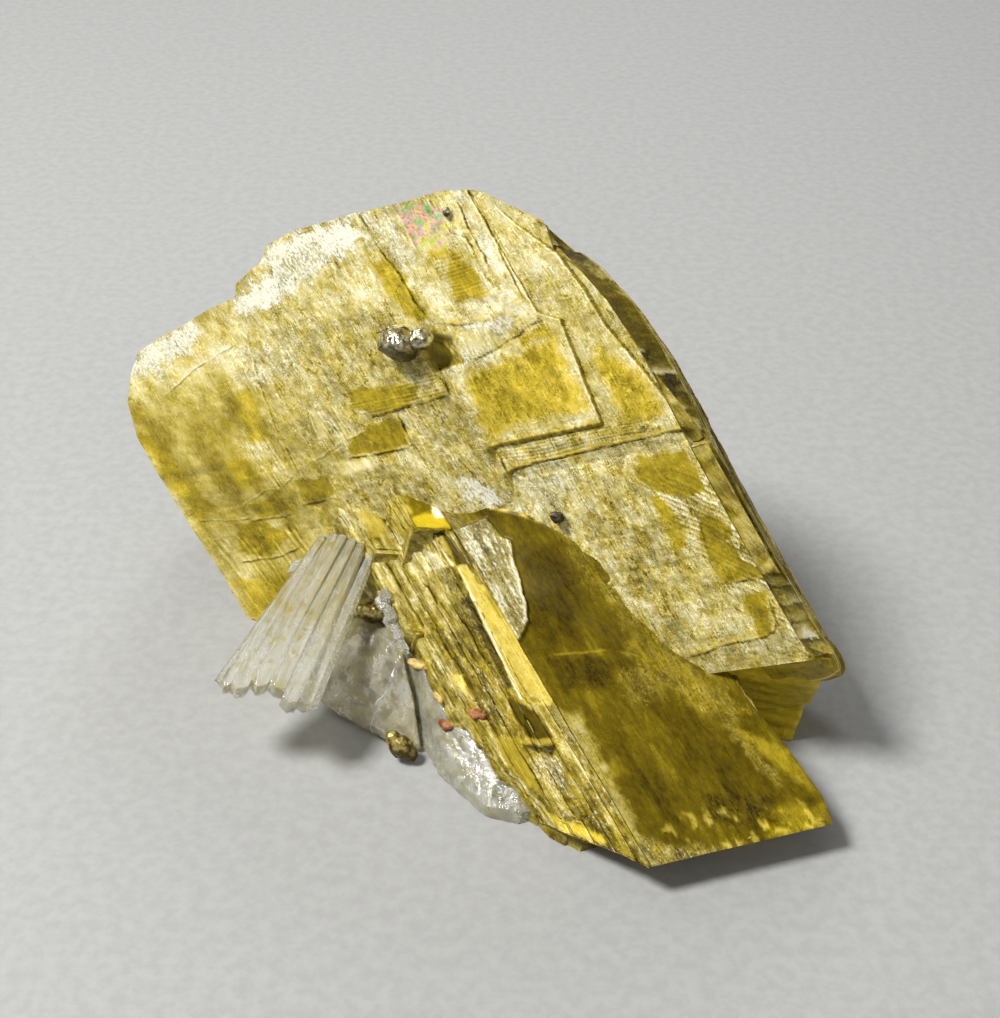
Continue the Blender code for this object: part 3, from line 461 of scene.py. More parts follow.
def crease(line, x, y):
    """Signed distance from an open line, positive on its left as it runs, and 1 beside the line fading to 0 past its
    ends: the nearest piece gives the side and the place along the line."""
    best, side, run, before = 1e9, 0.0, 0.0, 0.0
    for x0, y0, _, dx, dy, part, off_x, off_y in pieces(line, x, y):
        square, long = off_x ** 2 + off_y ** 2, math.hypot(dx, dy)
        side = np.where(square < best, dx * (y - y0) - dy * (x - x0), side)
        run = np.where(square < best, before + part * long, run)
        best = np.minimum(best, square)
        before += long
    return np.sign(side) * np.sqrt(best), ramp(run, 0.0, 0.9) * ramp(before - run, 0.0, 0.9)


def patch(outline, across, up, soft, ragged, seed):
    """1 within an outline, fading to 0 over a ragged soft edge."""
    away = outside(outline, across, up)[0] + 2 * ragged * swell(across * 1.3, up * 1.3, seed + 50, 3)
    return 1 - ramp(away, -soft, soft)


def toward(masks, share, **wanted):
    """Brings some masks toward wanted values by a share."""
    for key, value in wanted.items():
        masks[key] = masks[key] + (value - masks[key]) * share


def directions(rows, columns):
    """Unit directions over a ball: rows from pole to pole, columns round it."""
    polar = np.linspace(0.0, np.pi, rows)[:, None]
    turn = np.linspace(0, 2 * np.pi, columns, endpoint=False)
    return np.stack([np.sin(polar) * np.cos(turn), np.sin(polar) * np.sin(turn), np.cos(polar) + 0 * turn], -1)


# ---------------------------------------------------------------- meshes

def into_scene(name, data):
    """An object in the scene that holds some data."""
    obj = bpy.data.objects.new(name, data)
    bpy.context.scene.collection.objects.link(obj)
    return obj


def carry(mesh, shape, masks, place):
    """Stores the masks and the place in the crystal on the points of a mesh."""
    for key, values in masks.items():
        layer = mesh.attributes.new(key, "FLOAT", "POINT")
        layer.data.foreach_set("value", np.broadcast_to(values, shape).astype(np.float32).ravel())
    layer = mesh.attributes.new("crystal_place", "FLOAT_VECTOR", "POINT")
    layer.data.foreach_set("vector", place.astype(np.float32).ravel())


def sheet_quads(rows, columns, closed=False):
    """The four corners of every cell of a grid, the last column joined to the first if it is closed."""
    index = np.arange(rows * columns).reshape(rows, columns)
    if closed:
        index = np.hstack([index, index[:, :1]])
    return np.stack([index[:-1, :-1], index[:-1, 1:], index[1:, 1:], index[1:, :-1]], -1).reshape(-1, 4)


def make_mesh(name, points, masks=None, place=None, quads=None):
    """An object from points in millimetres, with its masks and its place in the crystal as attributes. Without quads
    it is a sheet of rows that close on themselves."""
    if quads is None:
        quads = sheet_quads(*points.shape[:2], True)
    mesh = bpy.data.meshes.new(name)
    mesh.vertices.add(points.size // 3)
    mesh.vertices.foreach_set("co", ((points.reshape(-1, 3) + TO_MIDDLE) * MM).astype(np.float32).ravel())
    mesh.loops.add(quads.size)
    mesh.loops.foreach_set("vertex_index", quads.ravel().astype(np.int32))
    mesh.polygons.add(len(quads))
    mesh.polygons.foreach_set("loop_start", np.arange(len(quads), dtype=np.int32) * 4)
    mesh.update(calc_edges=True)
    mesh.polygons.foreach_set("use_smooth", np.ones(len(quads), bool))
    if place is not None:
        carry(mesh, points.shape[:-1], masks, place)
    mesh.validate()
    return into_scene(name, mesh)


def on_ground(points):
    """Nothing reaches under the ground."""
    points[..., 2] = np.maximum(points[..., 2], 0.0)
    return points


def weld(obj, gap=2e-6, flat=False):
    """Joins the points that lie on each other, as at the poles and the seams, and turns every face outwards. A flat
    faceted mesh has its open ends filled too."""
    shape = bmesh.new()
    shape.from_mesh(obj.data)
    bmesh.ops.remove_doubles(shape, verts=shape.verts, dist=gap)
    if flat:
        bmesh.ops.holes_fill(shape, edges=shape.edges)
    bmesh.ops.recalc_face_normals(shape, faces=shape.faces)
    for face in shape.faces:
        face.smooth = not flat
    shape.to_mesh(obj.data)
    shape.free()
    return obj


# ---------------------------------------------------------------- the broad crystal

def face_place(r, s):
    """Bends the rectangle to the outline of the stepped face. Each side is drawn in to its curve, and the pull fades
    out within a few millimetres, so the middle stays square to the edges. The lower side is lifted to the line where
    the face meets the ground."""
    across, up = r, s
    for _ in range(4):
        pull_up = HIGH_END - np.interp(across, *TOP)
        ground = -(BROAD.origin[2] + across * BROAD.edges[0][2]) / BROAD.edges[1][2]
        lift = np.maximum(ground - LOW_END, 0.0) * (1 - np.clip((s - LOW_END) / 28.0, 0, 1))
        up = s - pull_up * ramp(s, 11.0, HIGH_END) + lift
        pull_left = (np.interp(up, *LEFT) - LEFT_END) * ramp(-r, 16.0, -LEFT_END)
        across = r + pull_left - (RIGHT_END - np.interp(up, *RIGHT)) * ramp(r, 10.0, RIGHT_END)
    return across, up


def growth(across, up):
    """The stepped face as (height, riser, foot, lip, glow). A plate is level within its outline and falls off
    outside it, steeply where its edge is sharp; the highest plate wins. Thin creases are then added: half their drop
    up on one side and half down on the other, easing out over a few millimetres. Riser is 1 on a fall, foot 1 right
    below it, lip 1 just inside a side edge and glow 1 just inside a lower edge. Foot is painted shadow under a step,
    lip a painted highlight where the edge catches the light, and glow a painted gold glow of light in the plate."""
    loose = 0.06 + 0.30 * ramp(-across, -1.0, 9.0)
    wobble = loose * (swell(across * 0.9, up * 0.9, 11) + 0.5 * blocks(across, up, 1.1, 0.8, 4))
    wobble = wobble + 0.12 * swell(across * 4.0, up * 4.0, 12, 2)
    broken = 0.55 + 0.45 * ramp(fractal(across * 1.1, up * 1.1, 14, 3), 0.38, 0.60)
    sharp_here = ramp(across, 1.2, 3.2)
    height, inside, facing, sharp = 0.0, 9.0, 0.0, 0.0
    plates = []
    for outline, count, edge in TERRACES:
        away, rise = outside(outline, across, up)
        away, edge = away + wobble, edge * sharp_here
        slope = 1 / (RIM_SLOPE * edge + SOFT_SLOPE * (1 - edge))
        own = count * LAYER - np.maximum(away, 0) * slope
        plates.append((own, count * LAYER, edge, slope))
        found = (own, height), (-away, inside), (rise, facing), (edge, sharp)
        height, inside, facing, sharp = [np.where(own > height, new, old) for new, old in found]
    foot = np.max([(1 - ramp((height - own) / slope, 0.02, 0.13)) * edge * (full > height + 0.06)
                   for own, full, edge, slope in plates], axis=0)
    riser = ramp(-inside, 0.0, 0.06) * ramp(sharp, 0.3, 0.6)
    level = 1 - riser
    foot = foot * level * broken
    below = ramp(-facing, 0.45, 0.8)
    glow = 0.7 * below * (1 - ramp(inside, 0.05, 0.65)) * (inside > -0.3) * sharp * broken
    lip_highlight = (1 - below) * (1 - ramp(inside, 0.05, 0.30)) * level * sharp * broken
    for number, (line, drop, pale, dark, gold) in enumerate(CREASES):
        away, shown = crease(line, across, up)
        away = away + 0.22 * swell(across * 1.1, up * 1.1, 500 + number, 3)
        away = away + 0.12 * swell(across * 4.0, up * 4.0, 520 + number, 2)
        shown = shown * (0.35 + 0.65 * ramp(noise(across * 1.1, up * 1.1, 540 + number), 0.25, 0.6))
        over = ramp(away, -0.08, 0.04)
        height = height + 0.8 * drop * shown * (over - 0.5) * np.exp(-np.abs(away) / 1.4)
        lip_highlight = np.maximum(lip_highlight, pale * shown * ramp(away, -0.02, 0.04) * (1 - ramp(away, 0.05, 0.28)))
        foot = np.maximum(foot, dark * shown * ramp(away, -0.20, -0.10) * (1 - ramp(away, -0.04, 0.02)))
        glow = np.maximum(glow, gold * shown * over * (1 - ramp(away, 0.2, 0.8)))
    for outline, tall in FILMS:
        height = height + tall * (1 - ramp(outside(outline, across, up)[0] + wobble * 0.6, -0.06, 0.06)) * level
    return height, riser, foot, lip_highlight, glow


def face_relief(across, up):
    """Low relief of the stepped face: hillocks drawn out up the face, and small bricks."""
    hills = 0.10 * swell(across * 0.9, up * 0.25, 21, 3) + 0.045 * swell(across * 3.6, up * 1.2, 23, 3)
    return hills + 0.04 * blocks(across, up, 1.4, 2.6, 31) + 0.03 * blocks(across, up, 0.6, 0.9, 33)


def lined(outline, across, up, lean, spacing, seed):
    """Stacked thin layers within an outline, from -1 in the gaps to 1 on the layers: a wave along one direction, bent
    a little and broken by noise drawn out along the layers. Lean turns the direction from up (0) to across (1)."""
    step = up * (1 - lean) + across * lean
    run = across * (1 - lean) - up * lean
    bend = 0.5 * noise(run * 0.16, step * 0.4, seed) + 0.12 * noise(run * 0.9, step * 2.0, seed + 1)
    turns = (step + bend) / spacing
    start = 9.0 * lattice(np.floor(turns + 0.25), step * 0, seed)
    kept = ramp(noise(run * 0.30 + start, step * 0, seed + 3), 0.25, 0.6)
    return np.sin(2 * np.pi * turns) * kept * patch(outline, across, up, 0.2, 0.25, seed)


def fish_scales(across, up, size=0.46):
    """Ripples like scales, from -1 to 1, that run down to the right: a saw wave over across + up, shifted from one
    stretch of each ripple to the next so that the crests break up."""
    over = 0.71 * (across + up) + 0.35 * noise(across * 0.8, up * 0.8, 301) + 0.12 * noise(across * 3, up * 3, 302)
    run = 0.71 * (across - up)
    row = np.floor(over / size)
    length = (0.7 + 1.1 * lattice(row, row * 0 + 1, 304)) * size / 0.46
    chance = lattice(row, np.floor(run / length + 3 * lattice(row, row * 0, 303)), 305)
    return (1.0 - 2.0 * (over / size - row)) * (0.35 + 0.65 * chance) + 0.9 * (chance - 0.5)


def stepped_face():
    """The front of the broad crystal: a sheet over the bent rectangle, lifted by its growth layers and relief. It is
    cut into three strips that share their border points and the normals there."""
    across, up = face_place(*np.meshgrid(np.linspace(LEFT_END, RIGHT_END, 500), np.linspace(LOW_END, HIGH_END, 443)))
    height, riser, foot, lip_highlight, glow = growth(across, up)
    level = 1 - riser
    lines = sum(lined(outline, across, up, lean, spacing, 200 + 9 * number) * deep
                for number, (outline, lean, spacing, deep) in enumerate(STACKS))
    scales = fish_scales(across, up) * ramp(across + 0.35 * up, 9.5, 15.0) * (1 - ramp(up, -1.5, 2.0))
    height = height + (face_relief(across, up) + 0.03 * lines + 0.04 * scales) * level
    height = height - 0.9 * patch(HOLLOW, across, up, 0.45, 0.1, 3)
    points = on_ground(BROAD.point(across, up, -height))
    ragged = fractal(across * 0.6, up * 0.35, 41)
    soft_side = ramp(-across, 8.0, 20.0)
    cloud = fractal(across * 0.55, up * 0.40, 43, 3)
    masks = {"tone": 0.26 * (ragged - 0.5) + 0.40 * soft_side * (cloud - 0.5) + 0.14 * lines, "frost": 0.0,
             "glow": 0.12 + 0.25 * soft_side * ramp(cloud, 0.6, 0.35), "calm": 0.66 * soft_side}
    for number, (outline, light, soft, calm) in enumerate(DRIFTS):
        share = patch(outline, across, up, soft, 0.6 * soft, number + 90)
        toward(masks, share, tone=masks["tone"] + light, calm=calm)
    for number, (outline, much) in enumerate(FROST_AND_GLARE):
        toward(masks, patch(outline, across, up, 0.7, 1.0, number + 30), frost=much, calm=0.0, glow=0.0)
    for number, (outline, much, soft) in enumerate(WINDOWS):
        share = patch(outline, across, up, soft, 0.30 + 0.4 * soft, number)
        masks["tone"] = masks["tone"] - 0.46 * much * share * (0.75 + 0.5 * ragged)
        masks["calm"] = np.maximum(masks["calm"], 1.6 * much * share)
        masks["glow"] = np.maximum(masks["glow"], share * 0.85)
        masks["frost"] = masks["frost"] * (1 - share)
        scales = scales * (1 - 0.75 * share)
    # The hollow beside the pyrite grain is darkened with some gold: painted shade in the recess, with painted glow.
    toward(masks, patch(HOLLOW, across, up, 0.4, 0.1, 3), tone=-0.26, calm=1.0, frost=0.0, glow=0.5)
    # Painted light at the steps: lips and ripple crests are lightened as painted highlights and glints, feet are
    # darkened as painted shadow under each step, risers are darkened as painted shade, and the gold along risers and
    # lower edges is painted glow.
    masks["tone"] = masks["tone"] + 0.32 * scales + 0.24 * lip_highlight - 0.50 * foot * (0.5 + ragged) - 0.20 * riser
    masks["glow"] = np.maximum(masks["glow"], np.maximum(glow, 0.6 * riser)) * (1 - 0.6 * ramp(scales, 0.1, 0.6))
    masks["calm"] = np.clip(np.maximum(masks["calm"], np.maximum(0.8 * riser, 0.7 * glow)), 0, 1)
    masks["frost"] = np.maximum(masks["frost"] * level * (1 - glow), 0.55 * ramp(scales, 0.45, 0.95))
    masks["iris"] = patch(FILM_SPOT, across, up, 0.45, 0.5, 9)
    place = np.stack([across, up, 0 * up], -1)
    normals = unit(np.cross(np.gradient(points, axis=1), np.gradient(points, axis=0)))
    normals = normals * np.sign((normals * -BROAD.edges[2]).sum(-1).mean())
    sheets = []
    for ending, first, last in (("_left", 0, 128), ("_middle", 128, 317), ("_right", 317, 499)):
        some = np.s_[:, first:last + 1]
        obj = make_mesh("stepped_face" + ending, points[some], {key: value[some] for key, value in masks.items()},
                        place[some], sheet_quads(len(points), last + 1 - first))
        obj.data.normals_split_custom_set_from_vertices(normals[some].reshape(-1, 3).tolist())
        sheets.append(obj)
    return sheets, across, up, height


def rim_wall(across, up, height):
    """The side of the broad crystal all the way round: it starts on the edge of the stepped face and runs into the
    depth. The outline is pushed in or out by a profile over the depth, and by thin layers that lie level with the
    face and break off unevenly along the edge."""
    border = np.s_[:, -1], np.s_[-1, ::-1], np.s_[::-1, 0], np.s_[0, :]
    ring = np.concatenate([np.stack([part[side][:-1] for part in (across, up, height)], -1) for side in border])[::2]
    flat, (at, level, high) = ring[:, :2], ring.T
    ahead = np.roll(flat, -1, 0) - np.roll(flat, 1, 0)
    normal = np.stack([ahead[:, 1], -ahead[:, 0]], -1)
    for _ in range(14):
        normal = (np.roll(normal, 1, 0) + normal + np.roll(normal, -1, 0)) / 3
    length = np.concatenate([[0], np.cumsum(np.linalg.norm(np.diff(flat, axis=0), axis=1))])
    depth = np.linspace(0, 1, 92)[:, None]
    into = (THICK + high) * depth - high
    out = np.interp(level, *BAND) * (at > 14.0) * np.clip(into / 3.0, 0, 1)
    out = out + np.interp(into, [4.6, 5.2, 8.4, 9.0, 11.2, THICK], [0, -0.45, -0.3, 0, 0, -0.7])
    sheet = np.floor(into / 0.32 + 0.3 * noise(length / 9.0, into * 0, 3))
    layers = lattice(sheet, np.floor(length / 60), 5) - 0.5
    broken = (blocks(length, into, 3.4, 0.62, 61) + 0.5) * ramp(into, -2.0, 0.8)
    right = ramp(at, 13.0, 15.0) * ramp(into, 0.0, 0.2) * (1 - ramp(into, 2.9, 3.1))
    layer_out = 0.10 * layers - 0.42 * ramp(broken, 0.60, 0.95) * (1 - right)
    rough = 0.34 * swell(length * 0.35, into * 0.7, 63)
    out = out + (layer_out * (1 - 0.6 * right) + rough) * ramp(depth, 0.0, 0.03)
    spot = flat + unit(normal) * out[..., None]
    x, y = spot[..., 0], spot[..., 1]
    scales = fish_scales(x, y - 0.5 * into, 1.15)
    points = on_ground(BROAD.point(x, y, into - 0.07 * scales * right))
    edge = ramp(-np.abs(into - BAND_DEEP), -0.16, 0.0) * ramp(at, 12.0, 15.0)
    bottom = ramp(-level, 15.5, 17.0) * ramp(into, -0.2, 0.4)
    streak = swell(length * 0.16, into * 2.4, 65, 3)
    thin = swell(length * 0.5, into * 6.0, 66, 3)
    masks = {"tone": 0.8 * streak + 0.3 * thin + 0.16 * layers - 0.02, "frost": 0.35 * ramp(broken, 0.4, 0.8),
             "glow": 0.25, "calm": 0.2, "iris": 0.0}
    toward(masks, bottom, tone=-0.08 + 0.26 * streak + 0.16 * thin, frost=0.0, glow=0.85, calm=0.75)
    # Along the right band the ripple crests are lightened and frosted: painted glints.
    toward(masks, right * (1 - bottom), tone=-0.12 + 0.34 * scales + 0.9 * swell(x * 0.5, y * 0.35, 67, 3),
           frost=0.6 * ramp(scales, 0.25, 0.85), glow=0.05, calm=0.35)
    shallow = 1 - 0.8 * ramp(into, 2.8, 3.6)
    for number, (outline,) in enumerate(DARK_BAND):
        share = patch(outline, x, y, 0.25, 0.5, number + 70) * shallow
        toward(masks, share, tone=-0.30, frost=0.0, calm=0.7, glow=0.6)
    # The sharp edge along the right side is lightened and made to glow: painted highlight and painted glow.
    masks["tone"] = masks["tone"] + 0.55 * edge
    masks["glow"] = np.maximum(masks["glow"], np.maximum(0.7 * ramp(level, 9.0, 14.0), 0.3) * edge)
    place = np.stack([(length + 50) * (1 - right) + x * right, (into + 40) * (1 - right) + y * right, 0 * into], -1)
    return make_mesh("layered_side", points, masks, place), spot[-1]


def back_face(edge):
    """The back of the broad crystal: rings that shrink from the last ring of the side toward the middle, lifted by
    broad plates and the same kind of relief as the front."""
    share = np.linspace(0.0, 0.97, 92)[:, None, None]
    across, up = np.moveaxis(edge + (np.array([-3.0, 3.5]) - edge) * share, -1, 0)
    wobble = 0.4 * swell(across * 0.7, up * 0.7, 71) + 0.2 * blocks(across, up, 1.3, 0.9, 73)
    height, inside = 0.0, 9.0
    for outline, tall in BACK_PLATES:
        away = outside(outline, across, up)[0] + wobble
        own = tall - np.maximum(away, 0) / 0.6
        inside = np.where(own > height, -away, inside)
        height = np.maximum(height, own)
    height = height + face_relief(across, up) + 0.25 * blocks(across, up, 3.4, 4.2, 75)
    points = on_ground(BROAD.point(across, up, THICK + height * ramp(share[..., 0], 0.0, 0.02)))
    riser = ramp(-inside, 0.0, 0.1)
    lip_highlight = (1 - ramp(inside, 0.1, 0.6)) * (1 - riser)
    broad = fractal(across * 0.3, up * 0.2, 77, 3)
    # Lighter lips are painted highlight, darker risers painted shade, and the gold on the risers painted glow.
    masks = {"tone": 0.9 * (broad - 0.5) + 0.35 * lip_highlight - 0.3 * riser, "frost": 0.30 * ramp(broad, 0.5, 0.75),
             "glow": 0.5 * riser + 0.3 * (1 - broad), "calm": 0.5 * riser, "iris": 0.0}
    place = np.stack([across + 90, up + 90, 0 * up], -1)
    return make_mesh("back_face", points, masks, place, sheet_quads(*across.shape, True)[:, ::-1])


# ---------------------------------------------------------------- the front crystal

def ridge_profile(along):
    """One line across the front crystal for each place along the ridge: from the right edge over the smooth face to
    the ridge, then down the ledges of the left side. Each ledge juts out until it breaks off at its end. Beside the
    points come what each is: on the flake or its edge, on the left side, which ledge, at an edge or in a nook."""
    still, run = 0 * along, along[:, None]
    width = np.interp(along, [-7.0, 24.0, 29.6, 34.0, RIDGE_END], [14.0, 14.7, 15.4, 15.6, 15.0])
    across = width[:, None] * np.linspace(1, 0, 112)
    middle, tall, reach = (np.interp(along, SADDLE[:, 0], SADDLE[:, column])[:, None] for column in (1, 2, 3))
    reach = np.maximum(reach, 0.2)
    part = np.clip((across - (middle - reach)) / reach, 0, 1.0)
    lift = (tall + 0.15) * part ** 1.8 * ramp(run, -4.0, 1.0) * (1 - ramp(run, 19.5, 23.0))
    away = outside(FLAKE, run + 0 * across, across)[0] + 0.5 * swell(run * 0.8, across * 0.8, 81, 3)
    plate = 0.42 * (1 - ramp(away, -0.05, 0.3))
    waves = 0.10 * swell(run * 0.35, across * 0.55, 85, 3) * ramp(across, 0.0, 1.0)
    flake, flake_edge = 1 - ramp(away, 0.0, 0.12), 1 - ramp(np.abs(away + 0.1), 0.05, 0.3)
    strips = [(across, -(lift + plate + waves), (flake, flake_edge, 0, 0, ramp(-across, -0.5, 0.0), 0))]
    out = still
    limit = np.interp(along, [10.0, 24.0, 29.6, 34.5, RIDGE_END], [13.0, 8.6, 3.7, 0.9, 0.0])
    depths = [ledge[0] for ledge in LEDGES] + [12.0]
    for number, (deep, reach_out, end) in enumerate(LEDGES):
        wave = 0.16 * swell(along * 0.8, still + number, 87 + number, 3)
        chip = 0.175 * ramp(blocks(along, still, 1.7, 1.0, 91 + number), 0.22, 0.45)
        torn = 0.6 * (lattice(np.floor(along * 2.2), still, 93 + number) - 0.5)
        fade = np.clip((end - along + torn) / 0.9, 0, 1)
        target = np.minimum(out, out + (reach_out + wave + chip - out) * fade)
        level = np.minimum(deep + 0.10 * swell(along * 0.5, still + number, 97, 2), limit)
        below = np.maximum(np.minimum(depths[number + 1], limit), level)
        steps = np.linspace(0, 1, 10 if number else 14)
        ledge = np.minimum(out[:, None] + (target - out)[:, None] * steps,
                           CORE_SLANT * np.minimum(level, CORE)[:, None])
        rough = 0.05 * swell(run * 0.9, ledge * 3.0, 99 + number, 3) * (steps > 0.05)
        nook = (1 - ramp(steps, 0.0, 0.22)) * (number > 0)
        light = lattice(np.full(2, number), np.array([1, 2]), 7)
        strips.append((ledge, level[:, None] + 0.10 * steps + rough, (0, 0, 0.5, light[0], 0, nook)))
        steps = np.linspace(0, 1, max(6, int((depths[number + 1] - deep) / 0.13)))
        down = level[:, None] + 0.10 + (below - level - 0.02)[:, None] * steps
        groove = 0.07 * (lattice(np.floor(down / 0.16), down * 0 + number, 101) - 0.5)
        groove = groove + 0.12 * swell(run * 0.6, down * 2.4, 103 + number, 3)
        wall = np.minimum(target[:, None], CORE_SLANT * np.minimum(down, CORE)) + groove * ramp(steps, 0.0, 0.15)
        strips.append((wall, down, (0, 0, 1, light[1], ramp(-steps, -0.16, 0.0), 0)))
        out = target
    kinds = [np.concatenate([np.broadcast_to(kind[k], over.shape) for over, _, kind in strips], 1) for k in range(6)]
    over, down = (np.concatenate([strip[k] for strip in strips], 1) for k in (0, 1))
    return run + 0 * over, over, down, kinds


def smooth_face_and_ledges():
    """The front crystal as one sheet: the line across it, carried along the ridge."""
    s, e, g, (flake, flake_edge, side, step, edge, nook) = ridge_profile(np.linspace(RIDGE_START, RIDGE_END, 320))
    points = on_ground(FRONT.point(s, e, g))
    side = ramp(side, 0.1, 0.4)
    run, over = s + 0.86 * g, e - 0.67 * g
    clouds = 0.26 * swell(run * 0.10, over * 0.55, 121) + 0.16 * swell(run * 0.35, over * 0.35, 123)
    wisps = 0.06 * ramp(fractal(run * 0.28, over * 1.9, 125), 0.54, 0.72)
    masks = {"tone": clouds + wisps, "frost": 0.0, "glow": 0.50, "calm": 0.97}
    for number, (outline, soft, ragged, wanted) in enumerate(SMOOTH_MARKS):
        toward(masks, patch(outline, run, over, soft, ragged, number + 300), **wanted)
    uneven = 0.10 * (noise(run * 2.2, over * 2.2, 131) - 0.5)
    for line, half, wanted in SMOOTH_LINES:
        near = 1 - ramp(np.abs(crease(line, run, over)[0]) + uneven, half * 0.5, half * 1.4)
        toward(masks, near * ramp(noise(run * 1.3, over * 1.3, 133), 0.15, 0.55), **wanted)
    tip = patch(TIP, run, over, 0.5, 1.2, 371) * ramp(fractal(run * 0.8, over * 1.6, 127, 3), 0.50, 0.68)
    masks["tone"] = masks["tone"] + 0.34 * tip
    masks["frost"] = np.maximum(masks["frost"], 0.30 * tip)
    # The flake's streaked silvery look is a painted sheen, and its bright rim a painted highlight.
    sheen_streaks = fractal(run * 0.35, over * 3.6, 129, 3)
    toward(masks, flake, tone=0.22 + 0.55 * (sheen_streaks - 0.5), frost=0.25 + 0.5 * ramp(sheen_streaks, 0.5, 0.7), calm=0.25,
           glow=0.0)
    rim = flake_edge * ramp(over, 0.8, 1.8) * ramp(run, 5.0, 8.0)
    masks["tone"] = masks["tone"] + 0.22 * rim
    masks["frost"] = np.maximum(masks["frost"], 0.8 * rim)
    broad = fractal(run * 0.12 + 7, over * 1.0, 141, 3)
    thin = fractal(run * 0.26, over * 4.2, 143, 3)
    fleck = fractal(run * 1.6, over * 3.0, 145, 3)
    tone = 0.25 + 0.60 * (broad - 0.5) + 0.36 * (thin - 0.5) + 0.36 * (fleck - 0.5) + 0.15 * (step - 0.5)
    ledge = {"tone": tone, "frost": 0.26 * ramp(thin, 0.52, 0.66) + 0.30 * ramp(fleck, 0.5, 0.7),
             "glow": 0.20 + 0.45 * ramp(broad, 0.60, 0.4), "calm": 0.30}
    for number, (outline, soft, ragged, wanted) in enumerate(SIDE_MARKS):
        toward(ledge, patch(outline, run, over, soft, ragged, number + 400), **wanted)
    # Edges of the ledges are lightened as painted highlight, and the nooks where each ledge meets the wall above are
    # darkened as painted shade.
    ledge["tone"] = ledge["tone"] + 0.16 * edge - 0.26 * nook
    toward(masks, side, **ledge)
    masks["iris"] = 0.0
    place = np.stack([over + 200, run, 0 * s], -1)
    return make_mesh("smooth_face_and_ledges", points, masks, place, sheet_quads(*s.shape))


# ---------------------------------------------------------------- bodies cut by planes

def hull_planes(corners):
    """The outward normals and distances of the planes round some corners."""
    shape = bmesh.new()
    for corner in corners:
        shape.verts.new(corner)
    bmesh.ops.convex_hull(shape, input=shape.verts)
    bmesh.ops.recalc_face_normals(shape, faces=shape.faces)
    shape.normal_update()
    unique = []
    for face in shape.faces:
        plane = (*face.normal, face.normal.dot(face.verts[0].co))
        if all(sum((a - b) ** 2 for a, b in zip(plane, other)) >= 1e-5 for other in unique):
            unique.append(plane)
    shape.free()
    return np.array(unique)


def cut_body(name, corners, rows, columns, rounding, relief, masks=None):
    """A broken lump: along each direction from its middle the surface lies where the first of its planes is met. The
    planes are blended softly, which rounds the edges, and relief is added along the direction."""
    corners = np.array(corners)
    middle = corners.mean(0)
    planes = hull_planes(corners - middle)
    ray = directions(rows, columns)
    reach = planes[:, 3] / np.maximum(ray @ planes[:, :3].T, 1e-3)
    near = reach.min(-1, keepdims=True)
    soft = -rounding * np.log(np.exp(-(np.minimum(reach, near + 30) - near) / rounding).sum(-1))
    radius = near[..., 0] + soft
    radius = radius + relief(middle + ray * radius[..., None])
    points = on_ground(middle + ray * radius[..., None])
    return weld(make_mesh(name, points, masks(points) if masks else {}, points + 60.0))


def stone_relief(points):
    """Uneven layers across the lump with a little grain."""
    x, y, z = np.moveaxis(points, -1, 0)
    layer = lattice(np.floor((z + 0.3 * x) / 0.24), x * 0, 133) - 0.5
    return 0.16 * swell(x * 0.8 + z, y * 0.8 - z, 131) + 0.03 * layer


def glass_relief(points):
    """Shell-like ripples of a fresh break, and fine lines."""
    x, y, z = np.moveaxis(points, -1, 0)
    shell = np.sin(5.0 * np.hypot(x * 0.8 + 3.0, z + 0.6 * y) + 3.0 * fractal(x * 0.5, y * 0.5 + z, 137, 2))
    return 0.035 * shell + 0.22 * swell(x * 0.9 + z * 0.7, y * 0.9 - z * 0.5, 139)


def stone_masks(points):
    """Soft drifts of light and a little frost for a lump of siderite, in layers across it."""
    x, _, z = np.moveaxis(points, -1, 0)
    fleck = fractal(x * 1.2, z * 2.4, 142, 3)
    tone = 0.06 + 0.40 * swell(x * 0.15, (z + 0.15 * x) * 1.6, 141, 3) + 0.2 * (fleck - 0.5)
    return {"tone": tone, "frost": 0.30 * ramp(fleck, 0.60, 0.72), "glow": 0.95, "calm": 0.9, "iris": 0.0}


# ---------------------------------------------------------------- quartz

